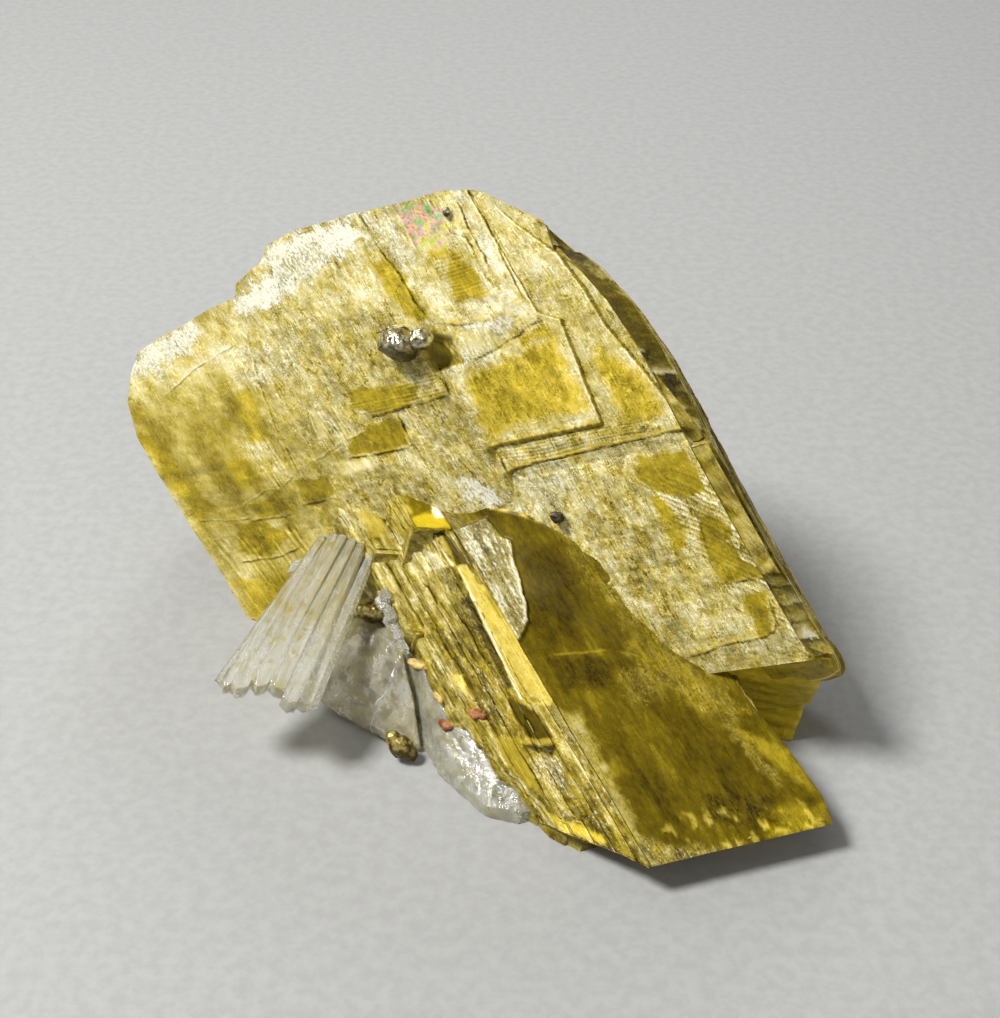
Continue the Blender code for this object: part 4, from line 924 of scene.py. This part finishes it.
def quartz_fan():
    """Six-sided prisms that spread from one root. At every place along the fan the upper line is the highest of the
    six prism tops and the lower line the lowest of their undersides; both close at the sides and at the ends."""
    root, tip, radius = FAN[:, :3], FAN[:, 3:6], FAN[:, 6]
    along, sweep = np.linspace(0, 1, 150), np.linspace(0, 1, 230)[:, None]
    side = unit(np.array([-0.93, 0.20, 0.31]))
    run = (tip - root).mean(0)
    over = unit(np.cross(run, side))
    over = over * np.sign(over[2])
    line = root + (tip - root) * along[:, None, None]
    size = radius * (0.40 + 0.60 * along[:, None])
    offset = line - line.mean(1)[:, None]
    spread, lifted = offset @ side, offset @ over
    low, high = (spread - size).min(-1), (spread + size).max(-1)
    lateral = low + (high - low) * sweep
    gap = np.abs(lateral[..., None] - spread)
    closest = gap.min(-1)
    nearest = gap.argmin(-1)
    half = np.clip(np.minimum(1.0, 2 * (1 - gap / size)), 0, 1) * 0.866 * size
    shown = (gap < size) | (gap <= closest[..., None])
    top = np.where(shown, lifted + half, -99).max(-1)
    bottom = np.where(shown, lifted - half, 99).min(-1)
    end = 1.0 - 0.06 * lattice(nearest, nearest * 0, 151) - 0.03 * closest
    end = np.minimum(end - 0.03 * swell(lateral * 1.6, lateral * 0, 153, 3), 1.0)
    base = root.mean(0) + run * (along * end)[..., None]
    bands = lattice(np.floor(along * 60 + 4 * noise(lateral, lateral * 0, 5)), nearest, 157) - 0.5
    fine = 0.05 * swell(lateral * 3.2, along * 3 + 0 * lateral, 155, 3) + 0.02 * bands
    fine = fine * np.minimum(ramp(sweep, 0, 0.03), 1 - ramp(sweep, 0.97, 1.0))
    upper, lower = (base + side * lateral[..., None] + over * edge[..., None] for edge in (top + fine, bottom - fine))
    slant = unit(run)
    step = np.linspace(0, 1, 12)[1:-1, None]
    close = upper[:, -1:] + (lower[:, -1:] - upper[:, -1:]) * step + slant * (0.25 * np.sin(np.pi * step))
    start = lower[:, :1] + (upper[:, :1] - lower[:, :1]) * step
    loop = on_ground(np.concatenate([upper, close, lower[:, ::-1], start], 1))
    seat = closest / size[:, 0]
    streak = fractal(lateral * 2.4, along * 1.1 + 0 * lateral, 181, 3)
    seam = 1 - ramp(np.abs(seat - 0.5), 0.03, 0.12)
    white = np.maximum(0.60 * ramp(streak, 0.55, 0.66), 0.30 * seam) * ramp(along, 0.10, 0.35)
    white = np.maximum(white, 0.95 * (1 - ramp(sweep, 0.07, 0.11)))
    # Shade is painted shade in the grooves between the prisms.
    shade = 0.7 * ramp(seat, 0.55, 0.85) * np.minimum(1, 2 * ramp(sweep, 0.08, 0.2))
    masks = {key: np.concatenate([mask, mask[:, -1:].repeat(len(step), 1), mask[:, ::-1],
                                  mask[:, :1].repeat(len(step), 1)], 1)
             for key, mask in (("frost", white), ("shade", shade))}
    place = np.stack([loop @ side, loop @ slant, loop @ over], -1)
    return weld(make_mesh("quartz_prisms", loop, masks, place), 3e-6)


def quartz_blade():
    """A clear blade: a four-cornered section (foot, outer edge, crest, inner foot) carried along its length, with
    eased corners and the ripples of a break."""
    marks = np.arange(len(BLADE_FOOT))
    where = np.linspace(0, marks[-1], 170)
    foot = np.stack([np.interp(where, marks, BLADE_FOOT[:, k]) for k in (0, 1)] + [where * 0], -1)
    crest = np.stack([np.interp(where, marks, BLADE_CREST[:, k]) for k in (0, 1, 2)], -1)
    inner = crest * [1, 1, 0] + [3.0, 2.0, 0.0]
    corners = np.stack([foot, foot + [0.25, 0.25, 0.9], crest, inner], 1)
    corner_at = np.linspace(0, 4, 96, endpoint=False)
    first = np.floor(corner_at).astype(int)
    part = (corner_at - first)[:, None]
    loop = corners[:, first] * (1 - part) + corners[:, (first + 1) % 4] * part
    for _ in range(3):
        loop = 0.5 * loop + 0.25 * (np.roll(loop, 1, 1) + np.roll(loop, -1, 1))
    x, y, z = np.moveaxis(loop, -1, 0)
    bumps = 0.30 * swell(x * 0.8 + z * 0.5, y * 0.8, 161) + 0.10 * blocks(y, z, 1.8, 1.1, 163)
    loop = loop + unit(loop - loop.mean(1, keepdims=True)) * bumps[..., None]
    ends = [loop[end].mean(1, keepdims=True) + 0 * loop[end] for end in np.s_[:1, -1:]]
    loop = on_ground(np.concatenate([ends[0], loop, ends[1]], 0))
    low = ramp(np.linspace(0, 1, len(loop)), 0.55, 0.80)[:, None]
    pocks = fractal(loop[..., 0] * 1.3, loop[..., 1] * 1.3 + loop[..., 2], 183, 3)
    white = np.maximum(0.75 * low * ramp(pocks, 0.38, 0.55), 0.9 * ramp(pocks, 0.60, 0.70))
    return weld(make_mesh("quartz_splinter", loop, {"frost": white}, loop))


def prism_group(name, items):
    """Many small six-sided prisms in one mesh, each with a low pyramid on its free end: rings of six points from root
    to tip, turned a little further from one prism to the next."""
    rings = []
    for number, item in enumerate(items):
        start, end, radius = np.array(item[:3]), np.array(item[3:6]), item[6]
        along = unit(end - start)
        side = unit(np.cross(along, [0.3, 0.2, 1.0]))
        angle = np.radians(60) * np.arange(6)[:, None] + 0.7 * number + 0.4
        spokes = (side * np.cos(angle) + np.cross(side, along) * np.sin(angle)) * radius
        rings += [start + spokes * 0.9, end - along * radius * 0.9 + spokes, end + spokes * 0.08]
    quads = sheet_quads(3, 6, True) + 18 * np.arange(len(items))[:, None, None]
    rings = np.stack(rings)
    return weld(make_mesh(name, rings, {"frost": 0.8}, rings, quads.reshape(-1, 4)), flat=True)


# ---------------------------------------------------------------- pyrite

def lump(name, middle, lobes, seed, rows, columns):
    """A grain of pyrite: each lobe is a ball cut by scattered planes, and the farther of the lobes shows along each
    direction. Fine dark lines over the facets and a darker underside are painted shade, held in its shade mask. A
    lobe is its offset from the middle and its half width each way."""
    chance = np.random.default_rng(seed)
    ray = directions(rows, columns)
    radius = 0.05
    for lobe in lobes:
        offset, half = np.array(lobe[:3]), np.array(lobe[3:])
        facets = unit(chance.normal(size=(FACETS, 3)))
        distance = chance.uniform(0.80, 0.97, FACETS)
        facing = (ray / half) @ facets.T
        room = distance + (offset / half) @ facets.T
        reach = np.where(facing > 1e-3, room / np.maximum(facing, 1e-3), 99.0).min(-1)
        back = np.where(facing < -1e-3, room / np.minimum(facing, -1e-3), -99.0).max(-1)
        reach = np.where((reach > 0) & (back < reach), reach, 0.0)
        radius = np.maximum(radius, np.minimum(reach, 5 * half.max()))
    x, y, z = np.moveaxis(middle + ray * radius[..., None], -1, 0)
    crumple = swell(x * 0.9 + 0.5 * z, y * 0.9 - 0.8 * z, seed + 60, 3)
    radius = radius * (1 + 0.30 * crumple) + 0.05 * swell(x * 3, y * 3 + z * 3, seed + 62, 3)
    points = on_ground(middle + ray * radius[..., None])
    # The shade mask is painted shade: thin dark lines as in creases, and the underside darker.
    lines = 1 - ramp(np.abs(swell(x * 1.1 + z, y * 1.1 - z, seed + 64, 3)), 0.0, 0.035)
    under = ramp(-ray[..., 2] - 0.5 * ray[..., 1] + 0.5 * swell(x * 1.6, y * 1.6 + z, seed + 61, 3), -0.2, 0.6)
    return weld(make_mesh(name, points, {"shade": np.maximum(under, 0.85 * lines)}, points))


# ---------------------------------------------------------------- materials

class Nodes:
    """A node tree whose inputs take numbers, colours and the outputs of other nodes alike."""

    def __init__(self, tree):
        self.tree = tree

    def put(self, value, socket):
        """Joins an output to a socket, or sets the socket to a value."""
        if isinstance(value, bpy.types.NodeSocket):
            self.tree.links.new(value, socket)
        else:
            socket.default_value = (*value, 1.0) if socket.type == "RGBA" else value

    def node(self, kind, inputs=(), **settings):
        """One node, with its inputs by number or name, and its settings."""
        made = self.tree.nodes.new("ShaderNode" + kind)
        for key, value in settings.items():
            setattr(made, key, value)
        for key, value in dict(inputs).items():
            self.put(value, made.inputs[key])
        return made

    def math(self, operation, first, second=0.0, *third, clamp=False):
        """One Math node's value."""
        return self.node("Math", enumerate((first, second, *third)), operation=operation, use_clamp=clamp).outputs[0]

    def times(self, first, second):
        """A product."""
        return self.math("MULTIPLY", first, second)

    def times_add(self, first, second, third, clamp=False):
        """A product with something added."""
        return self.math("MULTIPLY_ADD", first, second, third, clamp=clamp)

    def scaled(self, vector, by):
        """A vector stretched along each of its directions."""
        return self.node("VectorMath", enumerate((vector, by)), operation="MULTIPLY").outputs[0]

    def fade(self, value, low, high, to_low=0.0, to_high=1.0):
        """A value brought from the range low..high to 0..1 or another range, eased."""
        ends = enumerate((value, low, high, to_low, to_high))
        return self.node("MapRange", ends, interpolation_type="SMOOTHSTEP").outputs[0]

    def noise(self, vector, scale, detail, roughness=0.6, distortion=0.0):
        """Noise from 0 to 1 through space."""
        return self.node("TexNoise", dict(Vector=vector, Scale=scale, Detail=detail, Roughness=roughness,
                                          Distortion=distortion)).outputs[0]

    def read(self, key, output="Fac"):
        """A mask, or the place in the crystal, from the mesh."""
        return self.node("Attribute", attribute_name=key).outputs[output]

    def mix(self, amount, first, second):
        """Two colours mixed by an amount."""
        made = self.node("Mix", data_type="RGBA")
        for number, value in ((0, amount), (6, first), (7, second)):
            self.put(value, made.inputs[number])
        return made.outputs[2]

    def tones(self, value, stops):
        """A colour ramp through some stops."""
        made = self.node("ValToRGB", {0: value})
        while len(made.color_ramp.elements) < len(stops):
            made.color_ramp.elements.new(0.5)
        for stop, (where, *tone) in zip(made.color_ramp.elements, stops):
            stop.position, stop.color = where, (*tone, 1.0)
        return made.outputs[0]

    def place(self, tree, **values):
        """A node group's outputs, with its inputs by name."""
        made = self.tree.nodes.new("ShaderNodeGroup")
        made.node_tree = tree
        for key, value in values.items():
            self.put(value, made.inputs[key])
        return made.outputs


class Material(Nodes):
    """A material of one shader."""

    def __init__(self, name, roughness, ior, metallic=0.0, transmission=0.0):
        self.made = bpy.data.materials.new(name)
        self.made.use_nodes = True
        super().__init__(self.made.node_tree)
        self.shader = self.tree.nodes["Principled BSDF"].inputs
        self.shader["Roughness"].default_value = roughness
        self.shader["IOR"].default_value = ior
        self.shader["Metallic"].default_value = metallic
        self.shader["Transmission Weight"].default_value = transmission

    def surface(self, colour, roughness, strength, distance, height):
        """Joins a colour, a roughness and a fine relief to the shader."""
        self.put(colour, self.shader["Base Color"])
        self.put(roughness, self.shader["Roughness"])
        bump = self.node("Bump", dict(Strength=strength, Distance=distance, Height=height))
        self.put(bump.outputs[0], self.shader["Normal"])
        return self.made


def group(name, inputs, *outputs):
    """An empty node group with named sockets: its nodes, its input sockets and the sockets that take its results. An
    input of four numbers and the output called Colour are colours."""
    tree = bpy.data.node_groups.new(name, "ShaderNodeTree")
    for key, value in inputs.items():
        kind = {1: "Float", 3: "Vector", 4: "Color"}[np.size(value)]
        tree.interface.new_socket(key, in_out="INPUT", socket_type="NodeSocket" + kind).default_value = value
    for key in outputs:
        kind = "Color" if key == "Colour" else "Float"
        tree.interface.new_socket(key, in_out="OUTPUT", socket_type="NodeSocket" + kind)
    return Nodes(tree), tree.nodes.new("NodeGroupInput").outputs, tree.nodes.new("NodeGroupOutput").inputs


def stone_group():
    """Siderite's colour, from how much light the stone gives back: deep olive at 0, cream at 1. A level is lifted by
    broad drifts, by specks of two sizes that trade places over the stone, and by fibres drawn out along the crystal;
    calm stone has less of the fine part. Three ramps read that light: clear honey, milky where there is haze within
    the stone, and the gold of a painted glow where light would pass through it. White is a sparse mask of frost
    specks painted in as glints, painted highlights which whiten it."""
    inner, given, results = group(
        "stone_colour_glow_and_glints", {"Place": (0, 0, 0), "Level": 0.58, "Contrast": 0.75, "Stretch": (1.6, 1.0, 1.0), "Tone": 0.0,
                         "Calm": 0.0, "Frost": 0.0, "Glow": 0.0}, "Colour", "FrostGlints", "Height")

    def join(*terms):
        total = 0.0
        for value, weight in terms:
            total = inner.times_add(value, weight, total)
        return total

    drawn = inner.scaled(given["Place"], given["Stretch"])
    drift = inner.noise(drawn, 0.33, 4.0)
    middle = inner.noise(drawn, 1.3, 3.0)
    coarse = inner.noise(given["Place"], 2.4, 2.5, 0.65, 1.4)
    small = inner.noise(drawn, 6.0, 2.5, 0.7, 0.6)
    trade = inner.fade(inner.noise(drawn, 0.42, 2.0), 0.40, 0.60)
    speck = inner.times_add(inner.math("SUBTRACT", coarse, small), trade, small)
    fibre = inner.noise(inner.scaled(drawn, (4.2, 0.85, 1.0)), 1.0, 3.0, 0.65)
    lively = inner.times_add(given["Calm"], -0.82, 1.0)
    uneven = inner.fade(inner.noise(drawn, 0.75, 2.0), 0.35, 0.65, 0.45, 1.15)
    lively = inner.times(inner.times(lively, uneven), given["Contrast"])
    fine = inner.times(join((speck, 1.9), (fibre, 1.2), (1.0, -1.55)), lively)
    broad = inner.times(join((drift, 0.8), (middle, 0.6), (1.0, -0.70)), inner.times_add(given["Calm"], -0.58, 1.0))
    light = join((given["Level"], 1.0), (given["Tone"], 1.0), (fine, 1.0), (broad, 1.0))
    sparse = inner.noise(inner.scaled(drawn, (1.0, 0.8, 1.0)), 3.4, 4.0, 0.70)
    clear = inner.times_add(given["Calm"], -0.95, 1.0, clamp=True)
    white = inner.fade(inner.times_add(given["Frost"], 0.30, sparse), 0.62, 0.76)
    white = inner.times(white, inner.math("MAXIMUM", clear, given["Frost"]))
    haze = inner.fade(inner.noise(drawn, 0.55, 5.0, 0.68), 0.40, 0.62)
    milk = inner.times_add(given["Frost"], 0.7, inner.times(haze, inner.times(clear, 0.85)), clamp=True)
    colour = inner.mix(milk, inner.tones(light, HONEY), inner.tones(light, MILKY))
    colour = inner.mix(given["Glow"], colour, inner.tones(light, GLOW_GOLD))
    inner.put(inner.mix(inner.times(white, 0.85), colour, (0.86, 0.84, 0.70)), results["Colour"])
    inner.put(white, results["FrostGlints"])
    inner.put(inner.times_add(white, 0.20, fine), results["Height"])
    return inner.tree


def veil_and_shade_group():
    """Quartz's colour and polish: milky drifts over its own tint, dusky and rusty drifts, painted shade where its
    shade mask is high, thin white healed cracks and frost, each noise eased into a mask. Scratches and whatever is
    white make it duller."""
    inner, given, results = group(
        "quartz_veils_and_shade", {"Place": (0, 0, 0), "Stretch": (1, 1, 1), "Tint": (0.80, 0.78, 0.60, 1),
                         "Cloud": (1.0, 0.99, 0.93, 1), "Stain": 0.6, "Dusk": 0.5, "Polish": 0.05, "Frost": 0.0,
                         "Shade": 0.0}, "Colour", "Roughness", "Height")
    place, polish = given["Place"], given["Polish"]
    drawn = inner.scaled(place, given["Stretch"])
    veil = inner.noise(drawn, 0.8, 5.0, 0.66, 0.3)
    colour = inner.mix(inner.fade(veil, 0.42, 0.60), given["Tint"], given["Cloud"])
    murk = inner.fade(inner.noise(drawn, 0.9, 4.0, 0.65, 0.4), 0.48, 0.62, 0.0, given["Dusk"])
    colour = inner.mix(inner.math("MAXIMUM", given["Shade"], murk), colour, (0.40, 0.38, 0.25))
    rust = inner.noise(place, 0.9, 4.0)
    colour = inner.mix(inner.fade(rust, 0.53, 0.66, 0.0, given["Stain"]), colour, (0.66, 0.54, 0.14))
    long = inner.noise(drawn, 0.24, 1.0, 0.5)
    crack = inner.fade(inner.math("ABSOLUTE", inner.math("SUBTRACT", long, 0.52)), 0.001, 0.006, 1.0, 0.0)
    crack = inner.times(crack, inner.fade(inner.noise(place, 0.35, 1.0), 0.48, 0.56))
    grain = inner.fade(inner.noise(place, 3.2, 4.0, 0.7), 0.35, 0.62)
    white = inner.math("MAXIMUM", crack, inner.times(given["Frost"], grain))
    scratch = inner.noise(drawn, 2.0, 5.0, 0.65)
    scratched = inner.fade(scratch, 0.4, 0.7, polish, inner.math("ADD", polish, 0.12))
    inner.put(inner.mix(white, colour, (0.97, 0.97, 0.93)), results["Colour"])
    inner.put(inner.times_add(white, 0.35, scratched), results["Roughness"])
    inner.put(inner.times_add(white, 0.25, scratch), results["Height"])
    return inner.tree


def tarnish_and_shade_group():
    """Pyrite's colour and polish: pale metal mottled dark where it is tarnished, darkened further by painted shade
    where its shade mask is high, and fine lines at even spacing up it, bent and broken by noise."""
    inner, given, results = group(
        "tarnish_and_shade", {"Place": (0, 0, 0), "Pale": (0.86, 0.81, 0.58, 1), "Dark": (0.10, 0.08, 0.03, 1), "Polish": 0.2,
                    "Shade": 0.0}, "Colour", "Roughness", "Height")
    place, polish = given["Place"], given["Polish"]
    mottle = inner.noise(place, 1.6, 4.0, 0.65)
    colour = inner.mix(inner.fade(mottle, 0.35, 0.62), given["Dark"], given["Pale"])
    inner.put(inner.mix(inner.times(given["Shade"], 0.9), colour, given["Dark"]), results["Colour"])
    inner.put(inner.fade(mottle, 0.3, 0.7, inner.math("ADD", polish, 0.2), polish), results["Roughness"])
    up = inner.node("SeparateXYZ", {0: place}).outputs[1]
    turns = inner.math("DIVIDE", inner.times_add(inner.noise(place, 0.7, 3.0), 0.3, up), 0.16)
    wave = inner.math("SINE", inner.times(turns, 2 * math.pi))
    lines = inner.times(inner.fade(wave, 0.2, 0.95), inner.fade(inner.noise(place, 1.7, 2.0), 0.42, 0.62))
    inner.put(inner.times_add(mottle, 0.8, inner.times(lines, 0.3)), results["Height"])
    return inner.tree


STONE, VEILS_AND_SHADE, TARNISH_AND_SHADE = stone_group(), veil_and_shade_group(), tarnish_and_shade_group()


def siderite(name, level, contrast, stretch, gloss, specular=0.22, film=False):
    """Honey siderite, roughened by its frost. A film adds flakes that are green above, then rose, then yellow-green,
    uneven as its thickness drifts."""
    stone = Material(name, gloss, 1.62)
    stone.shader["Specular IOR Level"].default_value = specular
    place = stone.read("crystal_place", "Vector")
    given = stone.place(STONE, Place=place, Level=level, Contrast=contrast, Stretch=stretch, Tone=stone.read("tone"),
                        Calm=stone.read("calm"), Frost=stone.read("frost"), Glow=stone.read("glow"))
    colour = given["Colour"]
    if film:
        up = stone.node("SeparateXYZ", {0: place}).outputs[1]
        drift = stone.noise(place, 1.1, 3.0)
        depth = stone.times_add(up, 0.13, stone.times_add(drift, 2.6, -4.00))
        flake = stone.noise(place, 2.4, 3.0, 0.7, 0.8)
        amount = stone.times(stone.read("iris"), stone.fade(flake, 0.40, 0.52))
        colour = stone.mix(stone.times(amount, 0.85), colour, stone.tones(depth, FILM))
    roughness = stone.times_add(given["FrostGlints"], 0.20, gloss)
    return stone.surface(colour, roughness, 0.5, 0.00006, given["Height"])


def quartz(name, clear, tint, polish, cloud, stretch, stain, dusk):
    """Clear quartz: plain transmission, with veils."""
    glass = Material(name, polish, 1.544, transmission=clear)
    given = glass.place(VEILS_AND_SHADE, Place=glass.read("crystal_place", "Vector"), Stretch=stretch, Tint=tint, Cloud=cloud,
                        Stain=stain, Dusk=dusk, Polish=polish, Frost=glass.read("frost"), Shade=glass.read("shade"))
    return glass.surface(given["Colour"], given["Roughness"], 0.45, 0.00014, given["Height"])


def pyrite(name, pale, dark, polish, metallic=1.0):
    """Pyrite: pale brassy metal, darkly tarnished, with painted shade where its shade mask is high."""
    metal = Material(name, polish, 1.5, metallic)
    given = metal.place(TARNISH_AND_SHADE, Place=metal.read("crystal_place", "Vector"), Pale=pale, Dark=dark, Polish=polish,
                        Shade=metal.read("shade"))
    return metal.surface(given["Colour"], given["Roughness"], 0.5, 0.0001, given["Height"])


# ---------------------------------------------------------------- the hidden body

def inner_body():
    """The solid itself, cut finer and drawn in a little under the detailed surfaces by an uneven amount. It shows on
    the underside and under the tip."""
    shape = bmesh.new()
    shape.from_mesh(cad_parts["siderite_crystals"].data)
    bmesh.ops.remove_doubles(shape, verts=shape.verts, dist=2e-6)
    for _ in range(6):
        long_edges = [edge for edge in shape.edges if edge.calc_length() > 1.1 * MM]
        if not long_edges:
            break
        bmesh.ops.subdivide_edges(shape, edges=long_edges, cuts=1, use_grid_fill=False)
        bmesh.ops.triangulate(shape, faces=[face for face in shape.faces if len(face.verts) > 3])
    bmesh.ops.recalc_face_normals(shape, faces=shape.faces)
    mesh = bpy.data.meshes.new("inner_body")
    shape.to_mesh(mesh)
    shape.free()
    points, normals = np.empty((2, len(mesh.vertices), 3), np.float32)
    mesh.vertices.foreach_get("co", points.ravel())
    mesh.vertex_normals.foreach_get("vector", normals.ravel())
    points = points / MM
    x, y, z = points.T
    inward = (-0.30 + 0.15 * swell(x * 0.5 + z, y * 0.5 - z, 171)) * ramp(z, 0.0, 0.5)
    points = on_ground(points + normals * inward[:, None])
    mesh.vertices.foreach_set("co", (points * MM).astype(np.float32).ravel())
    layer = fractal(x * 0.3, y * 0.3 + z * 1.6, 173, 3)
    carry(mesh, x.shape, {"frost": 0.3 * layer, "tone": 0.8 * (layer - 0.6), "glow": 0.4, "calm": 0.4, "iris": 0.0},
          np.stack([x + z, y - z * 0.5, z], -1))
    mesh.update()
    return into_scene("inner_body", mesh)


# ---------------------------------------------------------------- putting it together

def dress(obj, made, slot, *nodes):
    """Gives a piece its material and names the solids that it stands for. The slot is not used."""
    obj.data.materials.clear()
    obj.data.materials.append(made)
    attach(obj, "root")
    if nodes:
        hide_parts(*nodes)


face_stone = siderite("stepped_siderite", 0.58, 0.80, (1.5, 1.0, 1.0), 0.40, film=True)
side_stone = siderite("layered_siderite", 0.52, 0.70, (1.0, 1.6, 1.0), 0.38, 0.18)
back_stone = siderite("back_siderite", 0.54, 0.75, (1.5, 1.0, 1.0), 0.40)
satin_stone = siderite("satin_siderite", 0.15, 0.70, (2.2, 0.8, 1.0), 0.36, 0.09)
broken_stone = siderite("broken_siderite", 0.50, 0.60, (1.0, 1.0, 1.0), 0.34, 0.16)

front_sheets, across, up, height = stepped_face()
for sheet, covered in zip(front_sheets, (["siderite_crystals"], [], [])):
    dress(sheet, face_stone, "siderite", *covered)
side, last_ring = rim_wall(across, up, height)
dress(side, side_stone, "siderite")
dress(back_face(last_ring), back_stone, "siderite")
dress(smooth_face_and_ledges(), satin_stone, "siderite")
dress(inner_body(), broken_stone, "siderite")
for name, corners, *details in (("lower_foot", FOOT, 130, 180, 0.10), ("lower_heel", HEEL, 90, 120, 0.08)):
    corners = BROAD.point(*np.array(corners).T)
    dress(cut_body(name, corners, *details, stone_relief, stone_masks), broken_stone, "siderite")

# Glass: how clear, its own tint, polish, its clouds, how far they are drawn out, iron stain, dusk
fan_glass = quartz("fan_quartz", 0.74, (0.80, 0.78, 0.60), 0.03, (1.0, 0.99, 0.93), (2.2, 0.24, 1.6), 0.75, 0.45)
grey_glass = quartz("grey_quartz", 0.72, (0.78, 0.73, 0.53), 0.05, (1.0, 0.98, 0.86), (1.1, 0.5, 1.2), 0.45, 0.75)
blade_glass = quartz("blade_quartz", 0.75, (0.80, 0.81, 0.66), 0.08, (0.96, 0.96, 0.86), (1.0, 0.6, 1.0), 0.60, 0.45)
dress(quartz_fan(), fan_glass, "quartz", "quartz_fan")
dress(cut_body("grey_quartz", CHUNK, 150, 220, 0.07, glass_relief), grey_glass, "quartz", "quartz_chunk")
dress(quartz_blade(), blade_glass, "quartz", "quartz_blade")
dress(prism_group("small_prisms", SPIKES), fan_glass, "quartz")

top_pyrite = pyrite("top_pyrite", (0.86, 0.81, 0.58), (0.10, 0.08, 0.03), 0.20)
gold_pyrite = pyrite("gold_pyrite", (0.72, 0.58, 0.20), (0.08, 0.06, 0.015), 0.30)
rusty = pyrite("rusty_grain", (0.13, 0.095, 0.03), (0.012, 0.010, 0.006), 0.35, 0.4)
rust = pyrite("iron_rust", (0.42, 0.17, 0.06), (0.14, 0.045, 0.015), 0.75, 0.0)
ochre = pyrite("ochre_crust", (0.78, 0.58, 0.20), (0.42, 0.24, 0.05), 0.75, 0.0)

# Grains: name, material, slot, the solid it stands for, middle, seed, grid, offset and half widths of each lobe
FINE, COARSE = (90, 120), (40, 56)
GRAINS = [
    ("top_grain", top_pyrite, "pyrite", ["pyrite_grain"], BROAD.point(0.6, 15.1, -2.8), 4, FINE,
     "-0.5 0 0 1.85 1.5 1.65, 1.3 -0.4 0.6 1.05 1 1"),
    ("top_speck", top_pyrite, "pyrite", ["pyrite_speck"], BROAD.point(9.8, 25.1, -1.5), 7, (30, 40),
     "0 0 0 0.36 0.36 0.4"),
    ("nook_grain", gold_pyrite, "pyrite", ["pyrite_nook"], (-10.7, -3.1, 7.6), 12, FINE,
     "0 0 0 1.5 1.05 1, -0.8 -0.3 0.4 0.9 0.8 0.8"),
    ("foot_grain", gold_pyrite, "pyrite", ["pyrite_base"], (-8.2, -13.0, 1.5), 21, FINE,
     "0 0 0 1.1 1 1.3, -0.6 0.2 0.7 0.8 0.7 0.8, 0.8 -0.2 -0.6 0.7 0.7 0.7"),
    ("rusty_grain", rusty, "rust", ["dark_grain"], BROAD.point(4.6, -1.8, -0.9), 30, COARSE, "0 0 0 0.6 0.5 0.6"),
    ("crumb_1", rust, "rust", [], (-1.9, -13.0, 5.2), 41, COARSE,
     "0 0 0 0.62 0.7 0.45, 0.5 -0.3 0 0.42 0.4 0.35, -0.4 0.45 0 0.4 0.4 0.3"),
    ("crumb_2", rust, "rust", [], (-4.2, -12.1, 3.0), 43, COARSE, "0 0 0 0.75 0.6 0.4, -0.6 0.3 0.1 0.4 0.35 0.3"),
    ("crumb_3", ochre, "rust", [], (-6.5, -7.5, 5.5), 45, COARSE,
     "0 0 0 0.9 0.5 0.3, 0.8 -0.3 0 0.6 0.4 0.25, -0.8 0.2 0.2 0.5 0.4 0.3"),
    ("crumb_4", ochre, "rust", [], (-5.2, -9.9, 4.5), 47, COARSE, "0 0 0 0.3 0.7 0.25, 0.3 -0.7 0 0.3 0.5 0.2"),
]
for name, made, slot, covered, middle, seed, grid, lobes in GRAINS:
    dress(lump(name, middle, spots(lobes), seed, *grid), made, slot, *covered)


# ---------------------------------------------------------------- floor, light and camera

def pale_floor():
    """A large pale sheet with the faint mottling of card."""
    step = np.linspace(-600, 600, 9)
    x, y = np.meshgrid(step, step)
    obj = make_mesh("pale_floor", np.stack([x, y, 0 * x - 0.02], -1), quads=sheet_quads(9, 9))
    card = Material("pale_card", 0.7, 1.45)
    mottle = card.noise(card.node("NewGeometry").outputs["Position"], 900.0, 3.0)
    colour = card.mix(card.fade(mottle, 0.3, 0.7), (0.33, 0.33, 0.325), (0.37, 0.37, 0.365))
    card.put(colour, card.shader["Base Color"])
    obj.data.materials.append(card.made)


def soft_light(name, place, size, power, tone):
    """A round area light that looks at the specimen."""
    data = bpy.data.lights.new(name, "AREA")
    data.shape, data.size, data.energy, data.color = "DISK", size, power, tone
    obj = into_scene(name, data)
    obj.location = place
    obj.rotation_euler = (Vector((0, 0, 0.015)) - Vector(place)).to_track_quat("-Z", "Y").to_euler()


pale_floor()
soft_light("key", (-0.26, -0.04, 0.42), 0.14, 3.4, (1.0, 1.0, 0.98))
soft_light("fill", (0.35, -0.45, 0.30), 0.40, 0.50, (1.0, 1.0, 1.0))
soft_light("rim", (0.05, 0.45, 0.35), 0.20, 0.8, (1.0, 1.0, 1.0))
world = bpy.data.worlds.new("studio")
bpy.context.scene.world = world
world.use_nodes = True
world.node_tree.nodes["Background"].inputs[0].default_value = (0.80, 0.80, 0.79, 1.0)
world.node_tree.nodes["Background"].inputs[1].default_value = 0.30

camera = into_scene("camera", bpy.data.cameras.new("camera"))
camera.location = (0.002298, -0.109037, 0.098950)
camera.rotation_euler = (math.radians(53.0), 0.0, 0.0)
camera.data.sensor_fit = "HORIZONTAL"
camera.data.sensor_width = 36.0
camera.data.lens = 59.4
camera.data.clip_start = 0.01
bpy.context.scene.camera = camera
bpy.context.scene.view_settings.view_transform = "Standard"
